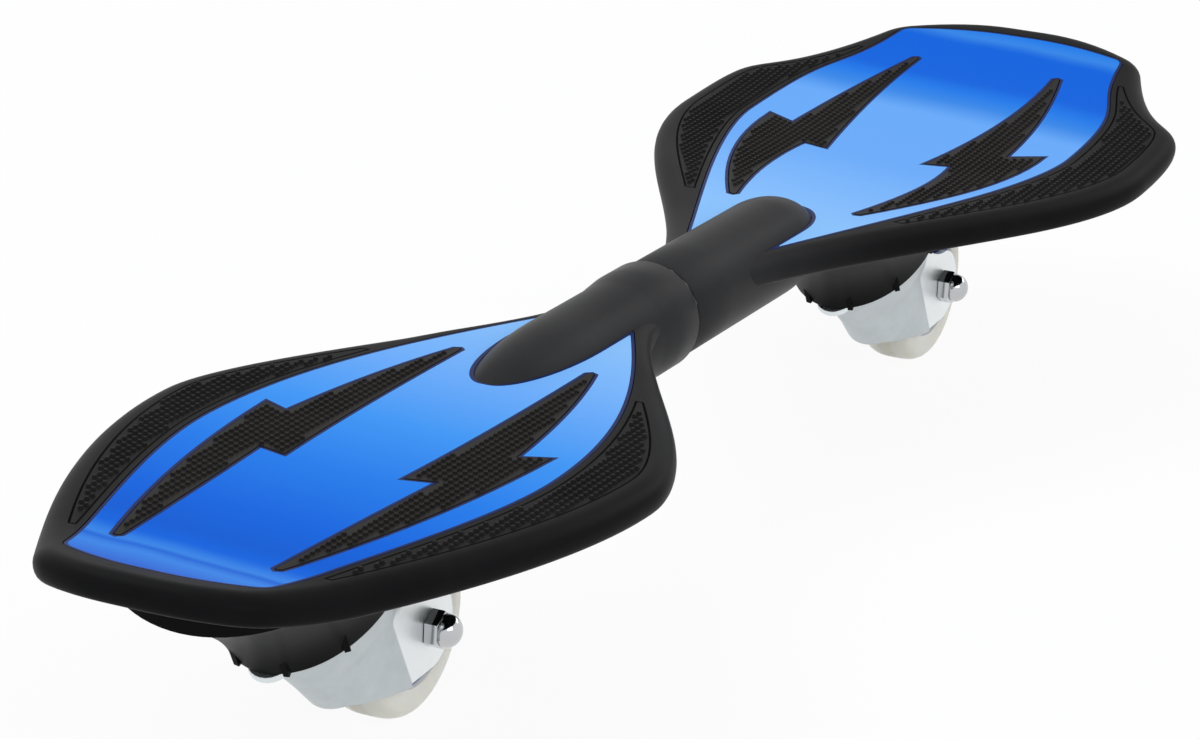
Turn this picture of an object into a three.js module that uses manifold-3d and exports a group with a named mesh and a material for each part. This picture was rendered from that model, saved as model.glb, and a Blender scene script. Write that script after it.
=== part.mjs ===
// Caster board: two moulded decks on a sprung twisting neck, each on one inclined swivel caster.
// Millimetres. +X is forward, +Y is the rider's left, +Z is up, the floor is z = 0.
import * as THREE from 'three';
import { mergeVertices } from 'three/addons/utils/BufferGeometryUtils.js';
import Module from 'manifold-3d';

const wasm = await Module();
wasm.setup();

// Overall sizes
const boardLength = 864;
const deckTopHeight = 112;
const partingOffset = 12;
const frontHalfWidth = 107;
const rearHalfWidth = 119;
const frontKick = 8;
const rearKick = 22;
const deckReach = boardLength / 2;

// Clearances
const seatGap = 0.3;
const turnGap = 0.4;
const cutOverrun = 5;

// Deck shell
const skinThickness = 3.6;
const rimDepth = 12.5;
const rimRound = 9;
const rimRoundDepth = 7;
const lipInset = 3;
const lipWidth = 3.4;
const wallThickness = 3.2;
const ribThickness = 2.4;
const ribDepth = 11;
const ribPitch = 54;
const endCornerRun = 9;
const underSkinDepth = 2.7;

// Deck inlay panel
const panelThickness = 2;
const panelCornerRun = 5;

// Neck and its torsion spring
const neckRadius = 22.4;
const neckAxisDrop = 12;
const collarRise = 1.4;
const collarLength = 34;
const noseStart = 100;
const frontNoseLength = 74;
const rearNoseLength = 42;
const pivotTubeRadius = 16;
const pivotTubeWall = 3;
const pivotTubeFrontReach = 92;
const pivotTubeRearReach = 60;
const bushingWall = 2.4;
const bushingLength = 20;
const thrustWasherThickness = 2;
const torsionBarRadius = 3.5;
const rearAnchorReach = 84;
const anchorSetback = 8;
const torsionHeadRadius = 6.5;
const anchorLength = 18;
const anchorBoltRadius = 3;
const anchorHeadRadius = 5;
const anchorHeadHeight = 4;

// Casters
const swivelLean = THREE.MathUtils.degToRad(30);
const frontWheelPlace = 236;
const rearWheelPlace = -286;
const wheelRadius = 38;
const forkTrail = 24;
const forkDrop = 60;
const plateRadius = 30;
const plateThickness = 3;
const tongueReach = 58;
const tongueWidth = 17;
const plateScrewRadius = 2.5;
const plateScrewHeadRadius = 4.2;
const plateScrewHeadHeight = 2.2;
const plateScrewLength = 16;
const ballRadius = 2.8;
const ballCircleRadius = 20;
const ballCount = 8;
const racewayDepth = 0.45;
const cageThickness = 1.6;
const cageWidth = 8;
const kingpinRadius = 5;
const kingpinHeadRadius = 8.5;
const kingpinHeadHeight = 6;
const kingpinWasherRadius = 11;
const kingpinWasherThickness = 1.8;
const insertRadius = 8.5;
const insertSeatShare = 0.2;
const insertTopShare = 0.66;

// Caster boss moulded under each deck
const bossRadius = 32;
const bossWall = 3;
const bossHubWall = 5;
const bossWebCount = 6;
const bossFinCount = 8;
const bossFinReach = 3.5;
const bossRise = 96;

// Fork pressed from sheet steel
const sheet = 2.8;
const legGap = 29;
const crownHalfWidth = 26;
const crownRearRadius = 29;
const crownBend = 3;
const shoulderDepth = 26;
const noseTopReach = 47;
const noseBottomReach = 24;
const axleLugRadius = 17;
const axleLugStart = THREE.MathUtils.degToRad(-68);
const axleLugEnd = THREE.MathUtils.degToRad(125);
const crownCornerDepth = 21;

// Wheel
const tyreWidth = 24;
const treadFlat = 7;
const tyreSideRadius = 33;
const hubRadius = 25;
const hubWidth = 21;
const hubRim = 3;
const hubWebThickness = 5;
const hubBossRadius = 15;
const bearingRadius = 11;
const bearingWidth = 7;
const bearingBore = 4;
const bearingRingWall = 1.4;
const bearingShieldDepth = 0.7;
const axleRadius = 3.8;
const axleHeadRadius = 7.2;
const axleHeadHeight = 5.3;
const capNutRadius = 7.6;
const capNutHexHeight = 6.5;
const spacerRadius = 6.2;

// Finishes
const finishes = {
  deckPlastic: { color: 0x1b1b1d, roughness: 0.55, metalness: 0 },
  panelPlastic: { color: 0x1267e8, roughness: 0.18, metalness: 0 },
  zincSteel: { color: 0xc9cdd0, roughness: 0.35, metalness: 1 },
  chromeSteel: { color: 0xdfe3e6, roughness: 0.08, metalness: 1 },
  springSteel: { color: 0x55585c, roughness: 0.4, metalness: 1 },
  nylon: { color: 0xe7e4d8, roughness: 0.5, metalness: 0 },
  tyreUrethane: { color: 0xeeeade, roughness: 0.3, metalness: 0 },
  hubNylon: { color: 0x12327e, roughness: 0.35, metalness: 0 },
};

// Outlines as cubic arcs, each place a share of the deck's reach and of its half width
const frontDeckShares = {
  start: [0.104, 0.2],
  flareOut: [0.2, 0.2],
  shoulderIn: [0.414, 1],
  shoulder: [0.538, 1],
  shoulderOut: [0.695, 1],
  taperIn: [0.866, 0.655],
  endCorner: [0.972, 0.412],
  endMiddle: [1, 0.06],
};
const rearDeckShares = {
  start: [0.104, 0.188],
  flareOut: [0.285, 0.392],
  shoulderIn: [0.478, 1],
  shoulder: [0.63, 1],
  shoulderOut: [0.852, 1],
  taperIn: [0.713, 0.898],
  endCorner: [0.953, 0.555],
  endMiddle: [1, 0.08],
};
const frontPanelShares = {
  start: [0.155, 0.168],
  flareOut: [0.272, 0.411],
  shoulderIn: [0.408, 0.69],
  shoulder: [0.582, 0.69],
  shoulderOut: [0.692, 0.69],
  taperIn: [0.834, 0.482],
  endCorner: [0.938, 0.388],
  endMiddle: [0.96, 0.05],
};
const rearPanelShares = {
  start: [0.142, 0.156],
  flareOut: [0.307, 0.365],
  shoulderIn: [0.529, 0.688],
  shoulder: [0.627, 0.688],
  shoulderOut: [0.835, 0.688],
  taperIn: [0.785, 0.57],
  endCorner: [0.942, 0.495],
  endMiddle: [0.967, 0.06],
};

// Grip bolts let into each panel, in the same shares: corners joined by single arcs
const frontBoltShares = {
  neckTip: [0.291, 0.27],
  outerArc: [0.4, 0.404],
  outerZigNeck: [0.544, 0.455],
  outerZigEnd: [0.531, 0.563],
  tailOuterArc: [0.722, 0.52],
  endTip: [0.897, 0.296],
  tailInnerArc: [0.735, 0.33],
  innerZigEnd: [0.631, 0.362],
  innerZigNeck: [0.639, 0.244],
  innerArc: [0.497, 0.279],
};
const rearBoltShares = {
  neckTip: [0.308, 0.239],
  outerArc: [0.49, 0.585],
  outerZigNeck: [0.618, 0.578],
  outerZigEnd: [0.598, 0.449],
  tailOuterArc: [0.748, 0.427],
  endTip: [0.877, 0.301],
  tailInnerArc: [0.738, 0.348],
  innerZigEnd: [0.538, 0.219],
  innerZigNeck: [0.545, 0.319],
  innerArc: [0.45, 0.371],
};

// Where each deck starts to lift towards its kicked-up end, as a share of its reach
const frontKickStartShare = 0.87;
const rearKickStartShare = 0.44;

// Sampling of curves
const arcSteps = 7;
const cornerSteps = 2;
const bowSteps = 2;
const rimSteps = 3;
const rimUnderSteps = 2;
const neckSegments = 20;
const noseSteps = 5;
const roundSegments = 16;
const bossSegments = 16;
const smallSegments = 10;
const wheelSegments = 24;
const tyreSideSteps = 2;
const hubSegments = 16;
const forkArcSteps = 6;
const domeSteps = 4;
const racewaySteps = 6;
const boltDivisions = 3;
const mitreLimitShare = 0.3;

const frontAnchorReach = pivotTubeFrontReach - anchorSetback;
const frontDeck = {
  halfWidth: frontHalfWidth,
  kick: frontKick,
  kickStart: deckReach * frontKickStartShare,
  outline: frontDeckShares,
  panel: frontPanelShares,
  bolt: frontBoltShares,
  parting: partingOffset,
  noseLength: frontNoseLength,
  anchorReach: frontAnchorReach,
  wheelPlace: frontWheelPlace,
  heading: 1,
};
const rearDeck = {
  halfWidth: rearHalfWidth,
  kick: rearKick,
  kickStart: deckReach * rearKickStartShare,
  outline: rearDeckShares,
  panel: rearPanelShares,
  bolt: rearBoltShares,
  parting: -partingOffset,
  noseLength: rearNoseLength,
  anchorReach: rearAnchorReach,
  wheelPlace: rearWheelPlace,
  heading: -1,
};

const neckHeight = deckTopHeight - neckAxisDrop;
const pivotTubeInner = pivotTubeRadius - pivotTubeWall;
const bushingRadius = pivotTubeRadius + turnGap + bushingWall;
const partingGap = thrustWasherThickness / 2 + seatGap;
const frontBoreRadius = pivotTubeRadius + seatGap;
const rearBoreRadius = bushingRadius + seatGap;
const boreDepth = pivotTubeFrontReach + seatGap;
const rearBoreDepth = rearAnchorReach + seatGap;

// Levels along the swivel axis, measured down from the underside of the boss
const plateTop = -seatGap;
const plateBottom = plateTop - plateThickness;
const ballCentre = plateBottom + racewayDepth - ballRadius;
const crownTop = ballCentre - ballRadius + racewayDepth;
const crownBottom = crownTop - sheet;
const kingpinWasherTop = crownBottom - seatGap;
const kingpinHeadTop = kingpinWasherTop - kingpinWasherThickness - seatGap;
const kingpinRise = deckTopHeight - skinThickness - swivelCentre(frontWheelPlace).z;
const kingpinRoom = kingpinRise / Math.cos(swivelLean) - insertRadius * Math.tan(swivelLean);
const insertSeatHeight = kingpinRoom * insertSeatShare;
const kingpinTip = kingpinRoom * insertTopShare;
const legHalfWidth = legGap / 2 + sheet;

// Closed solid from a geometry, for cutting and joining
function solid(geometry) {
  const bare = geometry.clone();
  bare.deleteAttribute('normal');
  bare.deleteAttribute('uv');
  const merged = mergeVertices(bare, 1e-4);
  const vertProperties = new Float32Array(merged.attributes.position.array);
  const triVerts = new Uint32Array(merged.index.array);
  return new wasm.Manifold(new wasm.Mesh({ numProp: 3, vertProperties, triVerts }));
}

// Geometry from a finished solid
function geometryOf(body) {
  const mesh = body.getMesh();
  const geometry = new THREE.BufferGeometry();
  geometry.setAttribute('position', new THREE.BufferAttribute(new Float32Array(mesh.vertProperties), 3));
  geometry.setIndex(new THREE.BufferAttribute(new Uint32Array(mesh.triVerts), 1));
  geometry.computeVertexNormals();
  return geometry;
}

function piece(name, geometry, finish) {
  const mesh = new THREE.Mesh(geometry, new THREE.MeshStandardMaterial(finishes[finish]));
  mesh.name = name;
  return mesh;
}

function joined(bodies) {
  return bodies.reduce((whole, body) => whole.add(body));
}

// Cylinder along X, Y or Z between two places on that axis
function rod(axis, radius, from, to, segments = roundSegments) {
  const geometry = new THREE.CylinderGeometry(radius, radius, to - from, segments);
  geometry.translate(0, (from + to) / 2, 0);
  if (axis === 'x') geometry.rotateZ(-Math.PI / 2);
  if (axis === 'z') geometry.rotateX(Math.PI / 2);
  return geometry;
}

// Solid of revolution about X, Y or Z; each profile point is [radius, place along the axis]
function turned(axis, profile, segments = roundSegments) {
  const points = profile.map(([radius, along]) => new THREE.Vector2(radius, along));
  const geometry = new THREE.LatheGeometry(points, segments);
  if (axis === 'x') geometry.rotateZ(-Math.PI / 2);
  if (axis === 'z') geometry.rotateX(Math.PI / 2);
  return geometry;
}

// Block between two corners
function block(low, high) {
  const geometry = new THREE.BoxGeometry(high[0] - low[0], high[1] - low[1], high[2] - low[2]);
  geometry.translate((low[0] + high[0]) / 2, (low[1] + high[1]) / 2, (low[2] + high[2]) / 2);
  return geometry;
}

// Height that a deck's kicked-up end adds at a distance from mid-length
function kickLift(deck, place) {
  const share = Math.max(0, (place - deck.kickStart) / (deckReach - deck.kickStart));
  return deck.kick * share * share;
}

// One side of a deck or panel outline, from the neck round the corner to mid-end, as [place, half width]
function sideOutline(shares, halfWidth, cornerRun) {
  const at = (key) => new THREE.Vector2(shares[key][0] * deckReach, shares[key][1] * halfWidth);
  const corner = at('endCorner');
  const taper = at('taperIn');
  const cornerStart = corner.clone().addScaledVector(taper.clone().sub(corner).normalize(), cornerRun);
  const middle = at('endMiddle');
  const bowArc = new THREE.Vector2(middle.x, corner.y / 2);
  const cornerEnd = corner.clone().addScaledVector(bowArc.clone().sub(corner).normalize(), cornerRun);
  const flare = new THREE.CubicBezierCurve(at('start'), at('flareOut'), at('shoulderIn'), at('shoulder'));
  const tail = new THREE.CubicBezierCurve(at('shoulder'), at('shoulderOut'), taper, cornerStart);
  const round = new THREE.QuadraticBezierCurve(cornerStart, corner, cornerEnd);
  const bow = new THREE.QuadraticBezierCurve(cornerEnd, bowArc, middle);
  const arcs = [[flare, arcSteps], [tail, arcSteps], [round, cornerSteps], [bow, bowSteps]];
  const points = arcs.flatMap(([arc, steps]) => arc.getPoints(steps).slice(arc === flare ? 0 : 1));
  return points.map((p) => [p.x, p.y]);
}

// The same side moved inwards, square to itself
function insetSide(side, inset) {
  return side.map(([place, width], i) => {
    if (i === 0) return [place, width - inset];
    const before = side[i - 1];
    const after = i + 1 < side.length ? side[i + 1] : [place, 0];
    const tangent = new THREE.Vector2(after[0] - before[0], after[1] - before[1]).normalize();
    return [place + tangent.y * inset, width - tangent.x * inset];
  });
}

// Closed body through stacked outlines that mirror across the centre line, listed from the lowest up
function stackedBody(levels) {
  const count = levels[0].length;
  const loopCount = count * 2;
  const positions = [];
  const index = [];
  for (const level of levels) {
    for (const [place, width, height] of level) positions.push(place, -width, height);
    for (const [place, width, height] of [...level].reverse()) positions.push(place, width, height);
  }
  for (let level = 0; level + 1 < levels.length; level += 1) {
    for (let k = 0; k < loopCount; k += 1) {
      const a = level * loopCount + k;
      const b = level * loopCount + ((k + 1) % loopCount);
      index.push(a, b, b + loopCount, a, b + loopCount, a + loopCount);
    }
  }
  const top = (levels.length - 1) * loopCount;
  for (let k = 0; k + 1 < count; k += 1) {
    const [a, b, c, d] = [k, k + 1, loopCount - 2 - k, loopCount - 1 - k];
    index.push(top + a, top + b, top + c, top + a, top + c, top + d);
    index.push(a, c, b, a, d, c);
  }
  const geometry = new THREE.BufferGeometry();
  geometry.setAttribute('position', new THREE.Float32BufferAttribute(positions, 3));
  geometry.setIndex(index);
  return geometry;
}

// One level of a deck: the side outline moved in and set a depth below the curved top
function deckLevel(deck, side, inset, depth) {
  return insetSide(side, inset).map(([place, width]) => [
    place,
    width,
    deckTopHeight - depth + kickLift(deck, place),
  ]);
}

// Full outer form of a deck plate with its rounded rim
function deckPlate(deck, side) {
  const levels = [];
  for (let i = 0; i <= rimSteps; i += 1) {
    const turn = (Math.PI / 2) * (i / rimSteps);
    levels.push([rimRound * (1 - Math.sin(turn)), rimRoundDepth * (1 - Math.cos(turn))]);
  }
  for (let i = 1; i <= rimUnderSteps; i += 1) {
    const turn = (Math.PI / 2) * (i / rimUnderSteps);
    const depth = rimRoundDepth + (rimDepth - rimRoundDepth) * Math.sin(turn);
    levels.push([lipInset * (1 - Math.cos(turn)), depth]);
  }
  return stackedBody(levels.reverse().map(([inset, depth]) => deckLevel(deck, side, inset, depth)));
}

// Hollow under the skin, inside the rim
function deckHollow(deck, side) {
  const levels = [
    [lipInset + lipWidth, rimDepth + cutOverrun],
    [lipInset + lipWidth, rimDepth],
    [wallThickness + lipInset / 2, rimRoundDepth],
    [rimRound + wallThickness / 2, skinThickness],
  ];
  return stackedBody(levels.map(([inset, depth]) => deckLevel(deck, side, inset, depth)));
}

// Stiffening ribs under the skin on one pitch: long ones, and cross ones counted from the boss
function deckRibs(deck, side) {
  const levels = [
    [(lipInset + lipWidth) / 2, ribDepth],
    [wallThickness / 2, rimRoundDepth],
    [(rimRound + wallThickness) / 2, skinThickness / 2],
  ];
  const zone = stackedBody(levels.map(([inset, depth]) => deckLevel(deck, side, inset, depth)));
  const low = deckTopHeight - ribDepth - cutOverrun;
  const high = deckTopHeight + deck.kick;
  const plates = [];
  const sideCount = Math.floor((deck.halfWidth - ribPitch / 2) / ribPitch);
  for (let i = -sideCount; i <= sideCount; i += 1) {
    const right = i * ribPitch - ribThickness / 2;
    plates.push(block([noseStart, right, low], [deckReach, right + ribThickness, high]));
  }
  const bossPlace = deck.heading * (swivelCentre(deck.wheelPlace).x + kingpinRise * Math.tan(swivelLean));
  const crossStart = noseStart + ((bossPlace - noseStart) % ribPitch) - ribThickness / 2;
  for (let place = crossStart; place < deckReach - endCornerRun; place += ribPitch) {
    plates.push(block([place, -deck.halfWidth, low], [place + ribThickness, deck.halfWidth, high]));
  }
  const bossCore = ontoSwivel(deck, rod('z', bossRadius - bossWall / 2, -bossRadius, bossRise));
  return joined(plates.map(solid)).intersect(solid(zone)).subtract(solid(bossCore));
}

// Neck that runs onto the deck as a ridge and ends in an elliptical nose
function neckBody(deck, growth) {
  const start = deck.parting + partingGap;
  const collar = deck.heading > 0 ? collarRise : 0;
  const radius = neckRadius + growth;
  const collarEnd = start + collarLength;
  const profile = [[0, start], [radius + collar, start], [radius, collarEnd], [radius, noseStart]];
  for (let i = 1; i <= noseSteps; i += 1) {
    const turn = (Math.PI / 2) * (i / noseSteps);
    const away = i === noseSteps ? 0 : radius * Math.cos(turn);
    profile.push([away, noseStart + (deck.noseLength + growth) * Math.sin(turn)]);
  }
  return turned('x', profile, neckSegments).translate(0, 0, neckHeight);
}

// Zigzag grip shape in plan, mirrored by side
function boltShape(deck, mirror) {
  const at = (key) => [deck.bolt[key][0] * deckReach, deck.bolt[key][1] * deck.halfWidth * mirror];
  const shape = new THREE.Shape();
  shape.moveTo(...at('neckTip'));
  shape.quadraticCurveTo(...at('outerArc'), ...at('outerZigNeck'));
  shape.lineTo(...at('outerZigEnd'));
  shape.quadraticCurveTo(...at('tailOuterArc'), ...at('endTip'));
  shape.quadraticCurveTo(...at('tailInnerArc'), ...at('innerZigEnd'));
  shape.lineTo(...at('innerZigNeck'));
  shape.quadraticCurveTo(...at('innerArc'), ...at('neckTip'));
  return shape;
}

// Upright prism on a closed outline, grown outwards by a clearance
function prism(outline, growth, low, high) {
  const points = outline.slice();
  if (THREE.ShapeUtils.area(points) < 0) points.reverse();
  const grown = points.map((point, i) => {
    const before = points[(i + points.length - 1) % points.length];
    const after = points[(i + 1) % points.length];
    const inward = point.clone().sub(before).normalize();
    const outward = after.clone().sub(point).normalize();
    const bisector = new THREE.Vector2(inward.y + outward.y, -inward.x - outward.x).normalize();
    const mitre = bisector.dot(new THREE.Vector2(outward.y, -outward.x));
    const reach = growth / Math.max(mitre, mitreLimitShare);
    return point.clone().addScaledVector(bisector, reach);
  });
  const settings = { depth: high - low, bevelEnabled: false };
  return new THREE.ExtrudeGeometry(new THREE.Shape(grown), settings).translate(0, 0, low);
}

function boltPrisms(deck, growth) {
  const low = deckTopHeight - skinThickness;
  const high = deckTopHeight + deck.kick + cutOverrun;
  return [1, -1].map((mirror) => {
    const outline = boltShape(deck, mirror).getPoints(boltDivisions);
    outline.pop();
    return prism(outline, growth, low, high);
  });
}

// Body in the seat of the inlay panel: grown for the recess, plain for the panel itself
function panelBody(deck, growth, top, depth) {
  const side = sideOutline(deck.panel, deck.halfWidth, panelCornerRun);
  return stackedBody([deckLevel(deck, side, -growth, depth), deckLevel(deck, side, -growth, -top)]);
}

function panelGeometry(deck) {
  const cutters = [neckBody(deck, seatGap), ...boltPrisms(deck, seatGap)];
  return geometryOf(solid(panelBody(deck, 0, 0, panelThickness)).subtract(joined(cutters.map(solid))));
}

// Turns a geometry built on the swivel axis into a deck's own frame
function ontoSwivel(deck, geometry) {
  const centre = swivelCentre(deck.wheelPlace);
  geometry.rotateY(swivelLean);
  geometry.translate(centre.x, 0, centre.z);
  if (deck.heading < 0) geometry.rotateZ(Math.PI);
  return geometry;
}

// Where a swivel axis crosses the underside of its boss
function swivelCentre(wheelPlace) {
  const ahead = forkTrail * Math.cos(swivelLean) + forkDrop * Math.sin(swivelLean);
  const above = forkDrop * Math.cos(swivelLean) - forkTrail * Math.sin(swivelLean);
  return new THREE.Vector3(wheelPlace + ahead, 0, wheelRadius + above);
}

// Round ribbed boss that carries the caster, with a lug for the plate's tongue
function casterBoss(deck) {
  const parts = [rod('z', bossRadius, 0, bossRise, bossSegments)];
  for (let i = 0; i < bossFinCount; i += 1) {
    const fin = block([0, -ribThickness / 2, 0], [bossRadius + bossFinReach, ribThickness / 2, bossRise]);
    parts.push(fin.rotateZ((Math.PI * 2 * (i + 0.5)) / bossFinCount));
  }
  const lugReach = tongueReach - tongueWidth / 2;
  parts.push(block([0, -tongueWidth / 2, 0], [lugReach, tongueWidth / 2, bossRise]));
  return joined(parts.map((part) => solid(ontoSwivel(deck, part)))).intersect(underSkin(deck));
}

// Pockets between the boss's webs
function bossPockets(deck) {
  const inner = insertRadius + bossHubWall;
  const outer = bossRadius - bossWall;
  const low = -cutOverrun;
  const section = [[inner, low], [outer, low], [outer, bossRise], [inner, bossRise], [inner, low]];
  const ring = turned('z', section, bossSegments);
  const webs = [];
  for (let i = 0; i < bossWebCount; i += 1) {
    const webTop = bossRise + cutOverrun;
    const web = block([0, -ribThickness / 2, low * 2], [bossRadius, ribThickness / 2, webTop]);
    webs.push(web.rotateZ((Math.PI * 2 * i) / bossWebCount));
  }
  const pockets = solid(ontoSwivel(deck, ring)).subtract(
    joined(webs.map((web) => solid(ontoSwivel(deck, web)))),
  );
  return pockets.intersect(underSkin(deck));
}

// Everything below the middle of a deck's skin
function underSkin(deck) {
  const side = sideOutline(deck.outline, deck.halfWidth, endCornerRun);
  return solid(stackedBody([
    deckLevel(deck, side, wallThickness, deckTopHeight),
    deckLevel(deck, side, wallThickness, underSkinDepth),
  ]));
}

// Bores of the neck: the tube or bushings, and the anchor bolt from below
function neckBores(deck) {
  const radius = deck.heading > 0 ? frontBoreRadius : rearBoreRadius;
  const depth = deck.heading > 0 ? boreDepth : rearBoreDepth;
  const boltPlace = deck.parting + deck.anchorReach - anchorLength / 2;
  const main = rod('x', radius, deck.parting - cutOverrun, deck.parting + depth);
  main.translate(0, 0, neckHeight);
  const hole = rod('z', anchorBoltRadius + seatGap, -neckRadius - cutOverrun, 0, smallSegments);
  const headSeat = neckRadius - anchorHeadHeight / 2;
  const seat = rod('z', anchorHeadRadius + seatGap, -neckRadius - cutOverrun, -headSeat, smallSegments);
  for (const cut of [hole, seat]) cut.translate(boltPlace, 0, neckHeight);
  return joined([main, hole, seat].map(solid));
}

// Holes of the caster boss: kingpin, its captive nut and the plate screw
function bossHoles(deck) {
  const pin = rod('z', kingpinRadius + turnGap, -cutOverrun, insertSeatHeight + seatGap);
  const nut = rod('z', insertRadius + seatGap, insertSeatHeight - seatGap, kingpinTip + seatGap);
  const screw = rod('z', plateScrewRadius + seatGap, -cutOverrun, plateScrewLength, smallSegments);
  screw.translate(plateScrewPlace(), 0, 0);
  return joined([pin, nut, screw].map((cut) => solid(ontoSwivel(deck, cut))));
}

function plateScrewPlace() {
  return (plateRadius + tongueReach) / 2 - seatGap;
}

function deckGeometry(deck) {
  const side = sideOutline(deck.outline, deck.halfWidth, endCornerRun);
  const recess = solid(panelBody(deck, seatGap, cutOverrun, panelThickness + seatGap));
  const pads = joined(boltPrisms(deck, 0).map(solid));
  const shell = solid(deckPlate(deck, side)).subtract(solid(deckHollow(deck, side)));
  const ribbed = joined([shell, deckRibs(deck, side), casterBoss(deck).subtract(bossPockets(deck))]);
  const body = ribbed.subtract(recess.subtract(pads)).add(solid(neckBody(deck, 0)));
  return geometryOf(body.subtract(neckBores(deck)).subtract(bossHoles(deck)));
}

function deckPieces(deck, name) {
  const pieces = [
    piece(`${name}_deck`, deckGeometry(deck), 'deckPlastic'),
    piece(`${name}_panel`, panelGeometry(deck), 'panelPlastic'),
  ];
  for (const mesh of pieces) mesh.rotation.z = deck.heading > 0 ? 0 : Math.PI;
  return pieces;
}

// Ring between two radii along X
function sleeve(inner, outer, from, to) {
  const profile = [[inner, from], [outer, from], [outer, to], [inner, to], [inner, from]];
  return turned('x', profile);
}

// Block that grips one end of the torsion bar, with the anchor bolt's hole
function anchorGeometry(radius, socketRadius, socketSides, from) {
  const bolt = rod('z', anchorBoltRadius + seatGap, -radius - cutOverrun, 0, smallSegments);
  bolt.translate(from + anchorLength / 2, 0, 0);
  const socket = rod('x', socketRadius, from - cutOverrun, from + anchorLength + cutOverrun, socketSides);
  const cylinder = solid(rod('x', radius, from, from + anchorLength));
  return geometryOf(cylinder.subtract(joined([bolt, socket].map(solid))));
}

// Bolt that comes up into an anchor and bears just short of the bar
function anchorBoltGeometry(tip) {
  const seat = neckRadius - anchorHeadHeight / 2 + seatGap;
  const head = rod('z', anchorHeadRadius, -seat - anchorHeadHeight, -seat, 6);
  const shank = rod('z', anchorBoltRadius, -seat - anchorHeadHeight / 2, -tip, smallSegments);
  return geometryOf(solid(shank).add(solid(head)));
}

function neckPieces() {
  const neck = new THREE.Group();
  neck.position.set(partingOffset, 0, neckHeight);
  const tubeBoltPlace = frontAnchorReach - anchorLength / 2;
  const tubeHole = rod('z', anchorBoltRadius + seatGap, -pivotTubeRadius - cutOverrun, 0, smallSegments);
  tubeHole.translate(tubeBoltPlace, 0, 0);
  const tube = sleeve(pivotTubeInner, pivotTubeRadius, -pivotTubeRearReach, pivotTubeFrontReach);
  neck.add(piece('pivot_tube', geometryOf(solid(tube).subtract(solid(tubeHole))), 'zincSteel'));
  const washer = sleeve(
    pivotTubeRadius + seatGap,
    neckRadius,
    -thrustWasherThickness / 2,
    thrustWasherThickness / 2,
  );
  neck.add(piece('neck_thrust_washer', washer, 'nylon'));
  const outerEnd = -partingGap;
  const innerEnd = -pivotTubeRearReach + bushingLength;
  for (const [name, end] of [['outer_bushing', outerEnd], ['inner_bushing', innerEnd]]) {
    const bushing = sleeve(pivotTubeRadius + turnGap, bushingRadius, end - bushingLength, end);
    neck.add(piece(`neck_${name}`, bushing, 'nylon'));
  }
  const anchorStart = frontAnchorReach - anchorLength;
  const headBar = rod('x', torsionHeadRadius, anchorStart, frontAnchorReach, 6);
  const bar = rod('x', torsionBarRadius, -rearAnchorReach, tubeBoltPlace);
  neck.add(piece('torsion_bar', geometryOf(solid(bar).add(solid(headBar))), 'springSteel'));
  const frontAnchor = anchorGeometry(pivotTubeInner - seatGap, torsionHeadRadius + turnGap, 6, anchorStart);
  neck.add(piece('front_torsion_anchor', frontAnchor, 'zincSteel'));
  const rearSocket = torsionBarRadius + turnGap;
  const rearAnchor = anchorGeometry(bushingRadius, rearSocket, roundSegments, -rearAnchorReach);
  neck.add(piece('rear_torsion_anchor', rearAnchor, 'zincSteel'));
  const frontTip = torsionHeadRadius + turnGap;
  const frontBolt = piece('front_anchor_bolt', anchorBoltGeometry(frontTip), 'zincSteel');
  frontBolt.position.x = tubeBoltPlace;
  const rearBolt = piece('rear_anchor_bolt', anchorBoltGeometry(rearSocket), 'zincSteel');
  rearBolt.position.x = anchorLength / 2 - rearAnchorReach;
  neck.add(frontBolt, rearBolt);
  return neck;
}

// Raceway groove round the kingpin, cut into the plate and the fork's crown
function racewayCutter() {
  const profile = [];
  const radius = (ballRadius + seatGap) / Math.cos(Math.PI / racewaySteps);
  for (let i = 0; i <= racewaySteps; i += 1) {
    const turn = (Math.PI * 2 * (i % racewaySteps)) / racewaySteps;
    profile.push([ballCircleRadius + radius * Math.cos(turn), ballCentre + radius * Math.sin(turn)]);
  }
  return solid(turned('z', profile));
}

// Fixed upper race: a round plate whose tongue is screwed to the boss's lug
function racePlateGeometry() {
  const round = tongueWidth / 2;
  const tongueEnd = tongueReach - round;
  const disc = solid(rod('z', plateRadius, plateBottom, plateTop));
  const tongue = solid(block([0, -round, plateBottom], [tongueEnd, round, plateTop]));
  const tip = solid(rod('z', round, plateBottom, plateTop).translate(tongueEnd, 0, 0));
  const low = plateBottom - cutOverrun;
  const bore = solid(rod('z', kingpinRadius + seatGap, low, cutOverrun));
  const screwHole = rod('z', plateScrewRadius + seatGap, low, cutOverrun, smallSegments);
  const holes = joined([bore, solid(screwHole.translate(plateScrewPlace(), 0, 0)), racewayCutter()]);
  return geometryOf(joined([disc, tongue, tip]).subtract(holes));
}

function plateScrewGeometry() {
  const top = plateBottom - seatGap;
  const head = solid(rod('z', plateScrewHeadRadius, top - plateScrewHeadHeight, top, smallSegments));
  const shankTop = plateScrewLength - seatGap;
  const shank = solid(rod('z', plateScrewRadius, top - plateScrewHeadHeight / 2, shankTop, smallSegments));
  return geometryOf(head.add(shank).translate([plateScrewPlace(), 0, 0]));
}

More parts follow.
